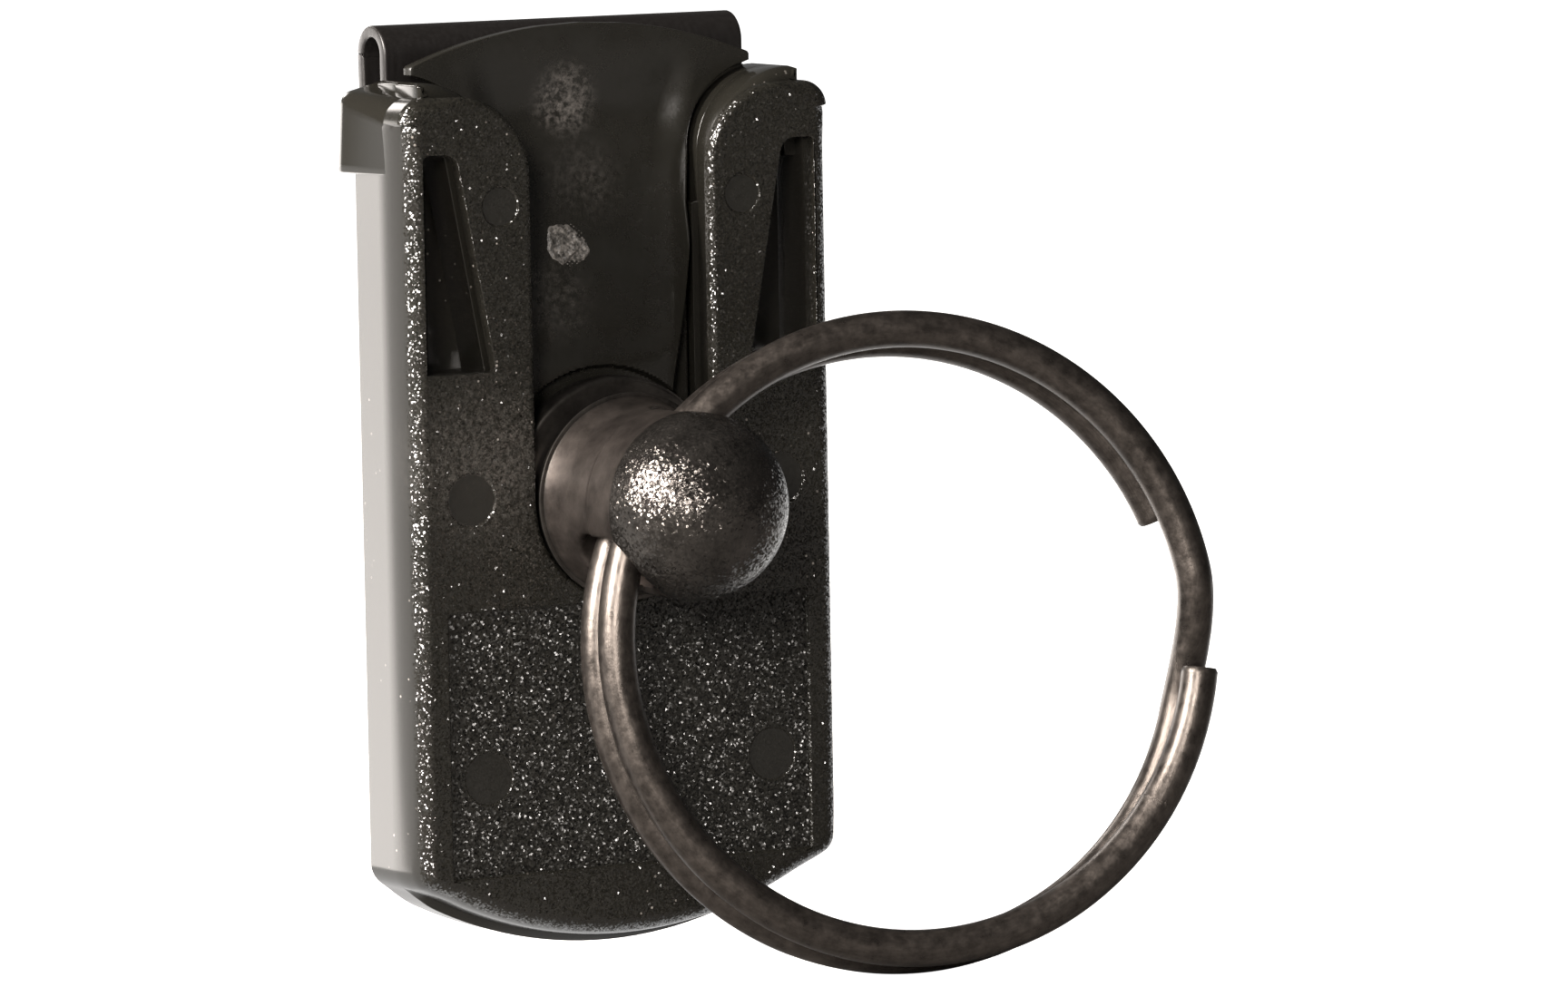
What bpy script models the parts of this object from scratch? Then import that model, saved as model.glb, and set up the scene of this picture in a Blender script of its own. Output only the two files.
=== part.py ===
"""Key coupler: a moulded body on a belt clip, with a ball stud that lifts out and carries a split ring.

Metres, +Z up, the front of the body faces -Y. The origin lies on the stud's axis, in the rear face of
the clip's mounting leaf, where the belt bears.
"""
import math

import bmesh
import bpy
from mathutils import Matrix, Vector

MM = 0.001
DEG = math.pi / 180.0

# Clearances between pieces
SEAT_GAP = 0.3 * MM          # between faces that touch on the real object
SLIDE_GAP = 0.25 * MM        # between the disc and the lips it slides behind
OVERRUN = 2.0 * MM           # how far a cutter runs past what it cuts

# Body as a whole
BODY_WIDTH = 29.0 * MM
BODY_DEPTH = 6.3 * MM
ARM_TOP = 24.15 * MM         # top of the arms above the stud's axis
BODY_FOOT = 26.7 * MM        # lowest point of the curved foot below the stud's axis
FOOT_RISE = 4.4 * MM         # how far the foot's arc rises at the sides
WALL = 1.3 * MM
LIP = 0.8 * MM               # thickness of the front plate and its lips
EDGE_ROUND = 1.25 * MM       # front edge along the sides and the foot
SHOULDER_SHARE = 0.574       # of an arm's width, that its inner shoulder's radius takes
OUTER_ROUND = 1.6 * MM       # outer top corner of each arm
FOOT_ROUND = 1.4 * MM        # corner between a side and the foot

# Slot, disc and stud
SLOT_WIDTH = 12.1 * MM
DISC_RADIUS = 7.06 * MM
DISC_THICK = 1.6 * MM
DISC_CHAMFER = 0.2 * MM
STEM_RADIUS = 2.2 * MM
RIVET_RADIUS = 3.2 * MM      # spread end of the stem, behind the disc
RIVET_THICK = 0.5 * MM
WEB_THICK = 0.8 * MM         # disc under the spread end
BALL_RADIUS = 5.6 * MM
BALL_REACH = 7.9 * MM        # ball's centre in front of the body's face
NECK_STEP = 0.15 * MM        # the neck is this much slimmer than the ball
NECK_STEP_REACH = 4.9 * MM
COLLAR_RADIUS = 6.5 * MM
COLLAR_THICK = 0.15 * MM
COLLAR_CONE = 0.5 * MM
THROAT_RADIUS = 5.7 * MM     # stud where it passes between the lips
CROSS_HOLE_LENGTH = 5.8 * MM     # along the stud's axis
CROSS_HOLE_WIDTH = 4.4 * MM
CROSS_HOLE_ROUND = 1.6 * MM
CROSS_HOLE_REACH = 5.5 * MM
CROSS_HOLE_OFFSET = 1.0 * MM     # of the hole's middle to one side of the stud's axis
CROSS_HOLE_ANGLE = 56.0 * DEG    # of the hole's axis above +X, as the stud is turned

# Windows beside the slot
WINDOW_TOP = 20.8 * MM
WINDOW_FOOT = 7.85 * MM
WINDOW_SIDE = 1.35 * MM      # between a window and the body's side
WINDOW_TOP_SHARE = 0.354     # of the room between the groove and the window's outer edge
WINDOW_FOOT_SHARE = 0.777
WINDOW_ROUND = 0.6 * MM
WINDOW_DEPTH = 3.9 * MM      # floor of the pocket behind a window, from the front face
GUIDE_PROUD = 0.25 * MM      # how far the guide shows past the window's inner edge

# Grained panel and ejector marks on the front
PANEL_SIDE = 2.2 * MM        # between the panel and the body's side
PANEL_TOP = -6.2 * MM
PANEL_FOOT = -22.0 * MM
PANEL_SINK = 0.15 * MM
PANEL_MARGIN = 0.6 * MM      # between the slot's edge and the panel
MARK_SINK = 0.12 * MM
MARK_SHARES = (0.254, 0.515, 0.427)      # of the way from the slot to the body's side
MARK_HEIGHTS = (17.6 * MM, 0.4 * MM, -16.2 * MM)
MARK_SIZES = (2.4 * MM, 3.2 * MM, 3.2 * MM)

# Rear housing
LOBE_TOP = 25.0 * MM
LOBE_SHARE = 0.94            # of the lobe's width, that its round takes
LOBE_CORNER = 0.9 * MM
GROOVE_FLOOR = 4.0 * MM      # from the front face
RUNNER_WIDTH = 0.4 * MM      # fixed strip of the groove's floor beside the tongue
EAR_FOOT = 19.6 * MM
EAR_TOP = 24.3 * MM
EAR_PROUD = 0.5 * MM
EAR_FRONT = 1.9 * MM
EAR_ROUND = 0.4 * MM
EAR_CORNER = 0.9 * MM
EAR_SLOPE = 0.26             # rise of its top towards the lobe
LEAF_SIDE_GAP = 0.4 * MM

# Thumb tongue
TONGUE_THICK = 1.5 * MM
TONGUE_ROOT = -9.0 * MM
SLIT = 0.35 * MM
DOME_TOP = 28.0 * MM
DOME_TIP = 0.785 * MM        # height of the dome's tips above the lobes' tops
DOME_SIDE = 1.3 * MM         # from the dome's tips to the rear housing's sides
DOME_FRONT = 4.6 * MM        # from the front face
DOME_START = 23.6 * MM
RAMP_START = 20.5 * MM
RAMP_END = 9.6 * MM
FLARE_START = 17.0 * MM      # height where the tongue starts to widen
LAND_HALF_TOP = 6.6 * MM
LAND_HALF_FOOT = 4.9 * MM
LAND_FOOT = 6.0 * MM
LAND_TAPER_TOP = 15.0 * MM
LEDGE_RADIUS = 7.45 * MM
SEAT_DEPTH = 0.6 * MM        # seat floor behind the ramp's land

# Belt clip
SHEET = 0.7 * MM
CLIP_SIDE = 2.3 * MM         # between the clip's edge and the body's side
BEND_RADIUS = 1.4 * MM       # to the middle of the sheet
BEND_CENTRE = 26.4 * MM
LEAF_FOOT = -19.0 * MM
LEAF_CORNER = 3.0 * MM
STAKE_SHARE = 0.656          # of the clip's width, between the two stakes
STAKE_HEIGHT = -14.0 * MM
STAKE_RADIUS = 1.3 * MM
STAKE_HEAD_RADIUS = 2.1 * MM
STAKE_HEAD_THICK = 0.5 * MM
BELT_LEAF_FOOT = -24.0 * MM
BELT_LEAF_BOW = 0.95 * MM    # how far it draws in towards the body
BOW_HEIGHT = -13.0 * MM      # height of its closest point
LIP_FLARE = 1.5 * MM         # how far its foot turns out again
BELT_LEAF_FOOT_SHARE = 0.779     # of the clip's width, at the belt leaf's foot
BELT_LEAF_TAPER = 4.0 * MM   # height where it starts to taper
BELT_LEAF_CORNER = 4.5 * MM

# Split ring
RING_OUTER = 38.1 * MM
WIRE = 2.2 * MM
TURN_GAP = 0.45 * MM         # between the two turns of wire
RING_PLAY = 0.4 * MM         # how far the wire's middle lies past the hole's axis
RING_LIFT = 13.5 * DEG       # of the ring's plane off the body's face
FRONT_END_ANGLE = 29.7 * DEG
CROSSING_ANGLE = 30.0 * DEG
TURN_SHIFT = 0.5 * MM        # how far each turn is slid along the other
POINTS_A_TURN = 48

# Fineness of round forms
ARC_STEP = 7.5 * DEG
LATHE_STEPS = 48

# Worked out from the above
HALF = BODY_WIDTH / 2
SLOT_HALF = SLOT_WIDTH / 2
FACE_Y = -(BODY_DEPTH + SEAT_GAP + SHEET)      # the body's front face
DISC_FRONT = LIP + SLIDE_GAP
DISC_REAR = DISC_FRONT + DISC_THICK
RAMP_LAND = DISC_REAR + SLIDE_GAP
SEAT_FLOOR = RAMP_LAND + SEAT_DEPTH
GROOVE_HALF = DISC_RADIUS + SEAT_GAP
INNER_HALF = HALF - WALL
REAR_HALF = INNER_HALF - SEAT_GAP
REAR_FRONT = LIP + SEAT_GAP
TONGUE_HALF = GROOVE_HALF - RUNNER_WIDTH - SLIT
TONGUE_REAR = GROOVE_FLOOR + TONGUE_THICK
CLIP_HALF = HALF - CLIP_SIDE
STAKE_REACH = CLIP_HALF * STAKE_SHARE
SHOULDER_ROUND = (HALF - SLOT_HALF) * SHOULDER_SHARE
LOBE_ROUND = (REAR_HALF - GROOVE_HALF) * LOBE_SHARE
DOME_HALF = REAR_HALF - DOME_SIDE
DOME_RISE = DOME_TOP - LOBE_TOP - DOME_TIP
DOME_RADIUS = (DOME_HALF ** 2 + DOME_RISE ** 2) / (2 * DOME_RISE)
WINDOW_OUTER = HALF - WINDOW_SIDE
WINDOW_ROOM = WINDOW_OUTER - GROOVE_HALF
BELT_LEAF_TURN = (2 * BEND_RADIUS - SHEET / 2, BEND_CENTRE - SEAT_GAP)      # (y, z) it springs about
FOOT_RADIUS = (HALF ** 2 + FOOT_RISE ** 2) / (2 * FOOT_RISE)
FOOT_CENTRE = FOOT_RADIUS - BODY_FOOT
BACK = Vector((0, 1, 0))
CROSS_DIRECTION = Vector((math.cos(CROSS_HOLE_ANGLE), 0, math.sin(CROSS_HOLE_ANGLE)))
CROSS_SIDE = CROSS_DIRECTION.cross(BACK)       # up and to the left, away from the ring's middle
CROSS_CENTRE = BACK * (FACE_Y - CROSS_HOLE_REACH) + CROSS_SIDE * CROSS_HOLE_OFFSET


def arc(centre, radius, start, end):
    """Points along an arc in a plane, from one angle to another, at an even step."""
    count = max(1, math.ceil(abs(end - start) / ARC_STEP - 0.01))
    angles = [start + (end - start) * i / count for i in range(count + 1)]
    return [(centre[0] + radius * math.cos(a), centre[1] + radius * math.sin(a)) for a in angles]


def rounded(corners):
    """Outline from (x, z, radius) corners: each corner with a radius becomes a tangent arc."""
    outline = []
    for i, (x, z, radius) in enumerate(corners):
        if radius == 0:
            outline.append((x, z))
            continue
        here = Vector((x, z))
        before = (Vector(corners[i - 1][:2]) - here).normalized()
        after = (Vector(corners[(i + 1) % len(corners)][:2]) - here).normalized()
        half = before.angle(after) / 2
        centre = here + (before + after).normalized() * radius / math.sin(half)
        first = here + before * radius / math.tan(half) - centre
        last = here + after * radius / math.tan(half) - centre
        start = math.atan2(first.y, first.x)
        turn = (math.atan2(last.y, last.x) - start + math.pi) % (2 * math.pi) - math.pi
        outline += arc(centre, radius, start, start + turn)
    return outline


def both_sides(right):
    """Closes the right half of an outline, which starts and ends at x = 0, with its mirror image."""
    return right + [(-x, z) for x, z in reversed(right) if x > 0]


def plain(points):
    """Corners without a radius."""
    return [(x, z, 0) for x, z in points]


def foot_arc(inset):
    """Right half of the foot's arc, drawn in by an inset, from the side to the middle."""
    side = HALF - inset
    radius = FOOT_RADIUS - inset
    start = -math.acos(side / radius)
    return arc((0, FOOT_CENTRE), radius, start, -math.pi / 2)


def into(collection, thing):
    """Moves an object into one collection alone."""
    for owner in list(thing.users_collection):
        owner.objects.unlink(thing)
    collection.objects.link(thing)
    return thing


def mesh_from_curve(curve_thing, name):
    """Replaces a curve object by its welded mesh, with its place written into the mesh."""
    bpy.context.view_layer.update()
    graph = bpy.context.evaluated_depsgraph_get()
    mesh = bpy.data.meshes.new_from_object(curve_thing.evaluated_get(graph))
    mesh.name = name
    mesh.transform(curve_thing.matrix_world)
    bpy.data.objects.remove(curve_thing)
    work = bmesh.new()
    work.from_mesh(mesh)
    bmesh.ops.remove_doubles(work, verts=work.verts, dist=0.001 * MM)
    bmesh.ops.dissolve_limit(work, angle_limit=0.2 * DEG, verts=work.verts, edges=work.edges)
    bmesh.ops.recalc_face_normals(work, faces=work.faces)
    work.to_mesh(mesh)
    work.free()
    thing = bpy.data.objects.new(name, mesh)
    bpy.context.scene.collection.objects.link(thing)
    return thing


def prism(name, outline, frame, low, high, rim=0):
    """Extrudes a flat outline along the third axis of a frame of directions, with rims rounded inward."""
    data = bpy.data.curves.new(name, "CURVE")
    data.dimensions = "2D"
    data.fill_mode = "BOTH"
    data.extrude = (high - low) / 2 - rim
    data.bevel_depth = rim
    data.bevel_resolution = 2
    data.offset = -rim
    spline = data.splines.new("POLY")
    spline.points.add(len(outline) - 1)
    for point, (u, v) in zip(spline.points, outline):
        point.co = (u, v, 0, 1)
    spline.use_cyclic_u = True
    thing = bpy.data.objects.new(name, data)
    bpy.context.scene.collection.objects.link(thing)
    turn = Matrix([frame[0], frame[1], frame[2]]).transposed().to_4x4()
    thing.matrix_world = Matrix.Translation(Vector(frame[2]) * (low + high) / 2) @ turn
    return mesh_from_curve(thing, name)


def front_prism(name, outline, front, rear, rim=0):
    """Extrudes an outline in X and Z from one depth to another, both counted from the front face."""
    frame = ((1, 0, 0), (0, 0, 1), (0, -1, 0))
    return prism(name, outline, frame, -(FACE_Y + rear), -(FACE_Y + front), rim)


def side_prism(name, outline, half_width):
    """Extrudes an outline in Y and Z to both sides of the middle."""
    frame = ((0, 1, 0), (0, 0, 1), (1, 0, 0))
    return prism(name, outline, frame, -half_width, half_width)


def lathe(name, profile):
    """Turns a profile of (radius, reach) points about the stud's axis; reach counts forward of the face."""
    mesh = bpy.data.meshes.new(name)
    closed = profile[0] == profile[-1]
    points = [(radius, 0, reach) for radius, reach in profile[closed:]]
    edges = [(i, i + 1) for i in range(len(points) - 1)]
    edges += [(len(points) - 1, 0)] * closed
    mesh.from_pydata(points, edges, [])
    thing = bpy.data.objects.new(name, mesh)
    bpy.context.scene.collection.objects.link(thing)
    thing.location = (0, FACE_Y, 0)
    thing.rotation_euler = (90 * DEG, 0, 0)
    screw = thing.modifiers.new("turn", "SCREW")
    screw.axis = "Z"
    screw.angle = 360 * DEG
    screw.steps = LATHE_STEPS
    screw.render_steps = LATHE_STEPS
    screw.use_merge_vertices = True
    screw.merge_threshold = 0.01 * MM
    return thing


def cone(name, low_radius, high_radius, start, direction, length):
    """A cylinder or a frustum along a direction."""
    work = bmesh.new()
    bmesh.ops.create_cone(work, cap_ends=True, segments=LATHE_STEPS, radius1=low_radius,
                          radius2=high_radius, depth=length)
    mesh = bpy.data.meshes.new(name)
    work.to_mesh(mesh)
    work.free()
    thing = bpy.data.objects.new(name, mesh)
    bpy.context.scene.collection.objects.link(thing)
    direction = Vector(direction).normalized()
    turn = direction.to_track_quat("Z", "Y").to_matrix().to_4x4()
    thing.matrix_world = Matrix.Translation(Vector(start) + direction * length / 2) @ turn
    return thing


def block(name, low, high, depths):
    """A box between two (x, z) corners and two depths from the front face."""
    (x0, z0), (x1, z1) = low, high
    return front_prism(name, [(x0, z0), (x1, z0), (x1, z1), (x0, z1)], *depths)


class Build:
    """Collections of the model, and the few steps that every piece goes through."""

    def __init__(self):
        self.parts = bpy.data.collections.new("key_coupler")
        self.cutters = bpy.data.collections.new("cutters")
        for collection in (self.parts, self.cutters):
            bpy.context.scene.collection.children.link(collection)

    def combine(self, thing, others, operation):
        """Adds one Boolean for each other shape, which goes among the cutters."""
        for other in others:
            into(self.cutters, other)
            other.hide_render = True
            other.display_type = "WIRE"
            step = thing.modifiers.new(other.name, "BOOLEAN")
            step.operation = operation
            step.solver = "EXACT"
            step.object = other
        return thing

    def cut(self, thing, *cutters):
        """Takes shapes away."""
        return self.combine(thing, cutters, "DIFFERENCE")

    def add(self, thing, *others):
        """Joins shapes on."""
        return self.combine(thing, others, "UNION")

    def keep(self, thing, shape):
        """Keeps only what lies inside another shape."""
        return self.combine(thing, [shape], "INTERSECT")

    def finish(self, thing, colour, roughness, metallic):
        """Gives a piece its material and puts it among the parts."""
        material = bpy.data.materials.new(thing.name)
        material.use_nodes = True
        shader = material.node_tree.nodes["Principled BSDF"]
        shader.inputs["Base Color"].default_value = (*colour, 1)
        shader.inputs["Roughness"].default_value = roughness
        shader.inputs["Metallic"].default_value = metallic
        material.diffuse_color = (*colour, 1)
        thing.data.materials.clear()
        thing.data.materials.append(material)
        return into(self.parts, thing)


def hang(thing, place):
    """Moves a piece's origin to a place on its joint's axis, and leaves its shape where it is."""
    bpy.context.view_layer.update()
    local = thing.matrix_world.inverted() @ Vector(place)
    thing.data.transform(Matrix.Translation(-local))
    thing.matrix_world = thing.matrix_world @ Matrix.Translation(local)


def bevel(thing, width, segments):
    """Rounds the edges that turn sharply."""
    step = thing.modifiers.new("rounding", "BEVEL")
    step.width = width
    step.segments = segments
    step.limit_method = "ANGLE"
    step.angle_limit = 40 * DEG
    return thing


def window_outline(side, widen):
    """A tapered window, with its inner edge moved outward by an amount."""
    corners = [
        (WINDOW_OUTER, WINDOW_FOOT, 0),
        (WINDOW_OUTER, WINDOW_TOP, 0),
        (WINDOW_OUTER - WINDOW_ROOM * WINDOW_TOP_SHARE + widen, WINDOW_TOP, WINDOW_ROUND),
        (WINDOW_OUTER - WINDOW_ROOM * WINDOW_FOOT_SHARE + widen, WINDOW_FOOT, 0),
    ]
    return [(side * x, z) for x, z in rounded(corners)]


def slot_half():
    """Right half of what opens the arms: round slot, inner shoulder, and all above the arms' tops."""
    slot = arc((0, 0), SLOT_HALF, -math.pi / 2, 0)
    above = ARM_TOP + OUTER_ROUND + OVERRUN
    beside = HALF + OVERRUN
    corners = plain(slot) + [(SLOT_HALF, ARM_TOP, SHOULDER_ROUND)]
    tip = arc((HALF - OUTER_ROUND, ARM_TOP - OUTER_ROUND), OUTER_ROUND, math.pi / 2, 0)
    corners += plain(tip + [(beside, ARM_TOP - OUTER_ROUND), (beside, above), (0, above)])
    return rounded(corners)


def body_half():
    """Right half of the body's outer outline, run past the arms' tops, with its foot's corner rounded."""
    foot = foot_arc(0)
    top = ARM_TOP + OVERRUN
    return rounded([(0, top, 0), (HALF, top, 0), (*foot[0], FOOT_ROUND)] + plain(foot[1:]))


def make_front_housing(build):
    """Front moulding: plate with the slot and its lips, side walls, windows, panel and marks."""
    run_out = BODY_DEPTH + EDGE_ROUND + OVERRUN
    thing = front_prism("front_housing", both_sides(body_half()), 0, run_out, EDGE_ROUND)
    above = ARM_TOP + OUTER_ROUND + OVERRUN
    roof = [(0, above), (INNER_HALF, above)]
    cutters = [
        block("rear_trim", (-HALF - OVERRUN, -BODY_FOOT - OVERRUN), (HALF + OVERRUN, above),
              (BODY_DEPTH, run_out + OVERRUN)),
        front_prism("hollow", both_sides(roof + foot_arc(WALL)), LIP, run_out),
        front_prism("slot", both_sides(slot_half()), -OVERRUN, run_out + OVERRUN),
    ]
    for side in (-1, 1):
        label = "left" if side < 0 else "right"
        inner, outer = side * (INNER_HALF - WALL), side * (HALF + OVERRUN)
        cutters.append(block("ear_notch_" + label, (min(inner, outer), EAR_FOOT - SEAT_GAP),
                             (max(inner, outer), ARM_TOP + OVERRUN),
                             (EAR_FRONT - SEAT_GAP, BODY_DEPTH + OVERRUN)))
        cutters.append(front_prism("window_" + label, window_outline(side, 0), -OVERRUN, LIP + WALL))
    notch = SLOT_HALF + PANEL_MARGIN
    start = math.asin(PANEL_TOP / notch)
    panel_half = HALF - PANEL_SIDE
    panel = [(panel_half, PANEL_TOP), (panel_half, PANEL_FOOT), (0, PANEL_FOOT)]
    panel = arc((0, 0), notch, -math.pi / 2, start) + panel
    cutters.append(front_prism("panel_sink", both_sides(panel), -OVERRUN, PANEL_SINK))
    for row, (share, height, diameter) in enumerate(zip(MARK_SHARES, MARK_HEIGHTS, MARK_SIZES)):
        floor = MARK_SINK + (PANEL_SINK if height < PANEL_TOP else 0)
        reach = SLOT_HALF + (HALF - SLOT_HALF) * share
        for side in (-1, 1):
            ring = arc((side * reach, height), diameter / 2, 0, 2 * math.pi)[:-1]
            cutters.append(front_prism(f"mark_{row}_{side}", ring, -OVERRUN, floor))
    build.cut(thing, *cutters)
    return build.finish(thing, (0.012, 0.012, 0.013), 0.42, 0)


def lobe_half(gap):
    """Right half of the two lobes' inner edges and tops, drawn in by a gap, up to the outer corner."""
    centre = (GROOVE_HALF + LOBE_ROUND, LOBE_TOP - LOBE_ROUND)
    return arc(centre, LOBE_ROUND + gap, math.pi, math.pi / 2)


def rear_half():
    """Right half of the rear moulding: foot of the tongue's gap, groove wall, lobe, side and foot."""
    foot = foot_arc(WALL + SEAT_GAP)
    corners = [(0, TONGUE_ROOT - SEAT_GAP, 0), (GROOVE_HALF, TONGUE_ROOT - SEAT_GAP, 0)]
    corners += plain(lobe_half(0)[:-1])
    corners += [(REAR_HALF, LOBE_TOP, LOBE_CORNER / 2)]
    return rounded(corners + plain(foot))


def make_ear(label, side):
    """Shoulder at the top of a side, which stands proud of the body and slopes up to the lobe's top.

    Its cheek goes on past the edge of the clip's leaf, and a root inside joins it to the rear housing.
    """
    inner, outer = CLIP_HALF + LEAF_SIDE_GAP, HALF + EAR_PROUD
    outline = rounded([(inner, EAR_FOOT, 0), (outer, EAR_FOOT, 0), (outer, EAR_TOP, EAR_CORNER),
                       (inner, EAR_TOP + (outer - inner) * EAR_SLOPE, 0)])
    cheek = front_prism("ear_cheek_" + label, [(side * x, z) for x, z in outline], EAR_FRONT,
                        BODY_DEPTH + SEAT_GAP + SHEET)
    low, high = sorted((side * (REAR_HALF - WALL), side * (HALF - WALL / 2)))
    root = block("ear_root_" + label, (low, EAR_FOOT + EAR_CORNER), (high, EAR_TOP - EAR_CORNER),
                 (EAR_FRONT + EAR_CORNER, BODY_DEPTH - EAR_CORNER))
    return [root, bevel(cheek, EAR_ROUND, 2)]


def make_rear_housing(build):
    """Rear moulding: groove walls and guides, lobes, ears, and the stakes that hold the clip."""
    thing = front_prism("rear_housing", both_sides(rear_half()), REAR_FRONT, BODY_DEPTH)
    runners, pockets, ears, stakes = [], [], [], []
    for side in (-1, 1):
        label = "left" if side < 0 else "right"
        low, high = sorted((side * (TONGUE_HALF + SLIT), side * (GROOVE_HALF + WALL)))
        runners.append(block("runner_" + label, (low, TONGUE_ROOT - OVERRUN),
                             (high, FLARE_START), (GROOVE_FLOOR, BODY_DEPTH)))
        pockets.append(front_prism("pocket_" + label, window_outline(side, GUIDE_PROUD),
                                   REAR_FRONT - OVERRUN, WINDOW_DEPTH))
        ears += make_ear(label, side)
        spot = Vector((side * STAKE_REACH, FACE_Y + BODY_DEPTH - WALL, STAKE_HEIGHT))
        reach = WALL + 2 * SEAT_GAP + SHEET
        stakes.append(cone("stake_" + label, STAKE_RADIUS, STAKE_RADIUS, spot, (0, 1, 0),
                           reach + STAKE_HEAD_THICK / 2))
        stakes.append(cone("stake_head_" + label, STAKE_HEAD_RADIUS, STAKE_RADIUS,
                           spot + Vector((0, reach, 0)), (0, 1, 0), STAKE_HEAD_THICK))
    build.add(thing, *runners)
    build.cut(thing, *pockets)
    build.add(thing, *ears, *stakes)
    return build.finish(thing, (0.014, 0.014, 0.015), 0.38, 0)


def tongue_half():
    """Right half of the tongue: root, straight side, flare that follows the lobe, and domed top."""
    flare = [p for p in lobe_half(SLIT) if p[0] > TONGUE_HALF and p[0] < DOME_HALF]
    dome_centre = DOME_TOP - DOME_RADIUS
    start = math.acos(DOME_HALF / DOME_RADIUS)
    dome = arc((0, dome_centre), DOME_RADIUS, start, math.pi / 2)
    side = [(0, TONGUE_ROOT), (TONGUE_HALF, TONGUE_ROOT), (TONGUE_HALF, FLARE_START)]
    return side + flare + dome


def make_thumb_tongue(build):
    """Springy tongue in the slot's back, with a ramp, the ledge over the disc, and a domed thumb pad."""
    front = FACE_Y
    profile = [
        (front + SEAT_FLOOR, TONGUE_ROOT),
        (front + SEAT_FLOOR, 0),
        (front + RAMP_LAND, 0),
        (front + RAMP_LAND, RAMP_END),
        (front + GROOVE_FLOOR, RAMP_START),
        (front + DOME_FRONT, DOME_START),
        (front + DOME_FRONT, DOME_TOP + OVERRUN),
        (front + TONGUE_REAR, DOME_TOP + OVERRUN),
        (front + TONGUE_REAR, TONGUE_ROOT),
    ]
    thing = side_prism("thumb_tongue", profile, DOME_HALF + OVERRUN)
    shape = front_prism("tongue_shape", both_sides(tongue_half()), -OVERRUN, BODY_DEPTH + OVERRUN)
    build.keep(thing, shape)
    seat = cone("disc_seat", LEDGE_RADIUS, LEDGE_RADIUS, (0, FACE_Y, 0), (0, 1, 0), SEAT_FLOOR)
    cutters = [seat]
    for side in (-1, 1):
        outer = TONGUE_HALF + OVERRUN
        slope = [(LAND_HALF_TOP, LAND_TAPER_TOP), (LAND_HALF_FOOT, LAND_FOOT), (LAND_HALF_FOOT, 0),
                 (outer, 0), (outer, LAND_TAPER_TOP)]
        cutters.append(front_prism(f"land_side_{side}", [(side * x, z) for x, z in slope],
                                   0, GROOVE_FLOOR))
    build.cut(thing, *cutters)
    hang(thing, (0, FACE_Y + (GROOVE_FLOOR + TONGUE_REAR) / 2, TONGUE_ROOT))
    return build.finish(thing, (0.012, 0.012, 0.013), 0.35, 0)


def sheet_section(path):
    """Closed section of a sheet that follows a path of (y, z) points down its middle."""
    near, far = [], []
    for i, here in enumerate(path):
        before = Vector(path[max(0, i - 1)])
        after = Vector(path[min(len(path) - 1, i + 1)])
        along = (after - before).normalized()
        across = Vector((-along.y, along.x)) * SHEET / 2
        near.append(tuple(Vector(here) + across))
        far.append(tuple(Vector(here) - across))
    return near + far[::-1]


def make_mounting_leaf(build):
    """Clip's leaf against the body, with the bend over its top."""
    middle = -SHEET / 2
    bend = arc((middle + BEND_RADIUS, BEND_CENTRE), BEND_RADIUS, math.pi, 0)
    section = sheet_section([(middle, LEAF_FOOT - OVERRUN)] + bend)
    thing = side_prism("clip_mounting_leaf", section, CLIP_HALF + OVERRUN)
    top = BEND_CENTRE + BEND_RADIUS + OVERRUN
    right = rounded([(0, LEAF_FOOT, 0), (CLIP_HALF, LEAF_FOOT, LEAF_CORNER), (CLIP_HALF, top, 0), (0, top, 0)])
    trim = front_prism("leaf_trim", both_sides(right), 0, BODY_DEPTH * 3)
    build.keep(thing, trim)
    for side in (-1, 1):
        spot = (side * STAKE_REACH, -SHEET - OVERRUN, STAKE_HEIGHT)
        radius = STAKE_RADIUS + SEAT_GAP
        build.cut(thing, cone(f"stake_hole_{side}", radius, radius, spot, (0, 1, 0),
                              SHEET + 2 * OVERRUN))
    return build.finish(thing, (0.02, 0.02, 0.021), 0.45, 0.2)


def belt_leaf_path():
    """Middle of the belt leaf, from under the bend down to its turned-out foot, as (y, z) points."""
    top = BELT_LEAF_TURN[1]
    count = 24
    path = []
    for i in range(count + 1):
        z = top + (BELT_LEAF_FOOT - top) * i / count
        if z > BOW_HEIGHT:
            reach = (top - z) / (top - BOW_HEIGHT)
            drawn = BELT_LEAF_BOW * math.sin(reach * math.pi / 2)
        else:
            reach = (BOW_HEIGHT - z) / (BOW_HEIGHT - BELT_LEAF_FOOT)
            drawn = BELT_LEAF_BOW - LIP_FLARE * reach ** 2
        path.append((BELT_LEAF_TURN[0] - drawn, z))
    return path


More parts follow.
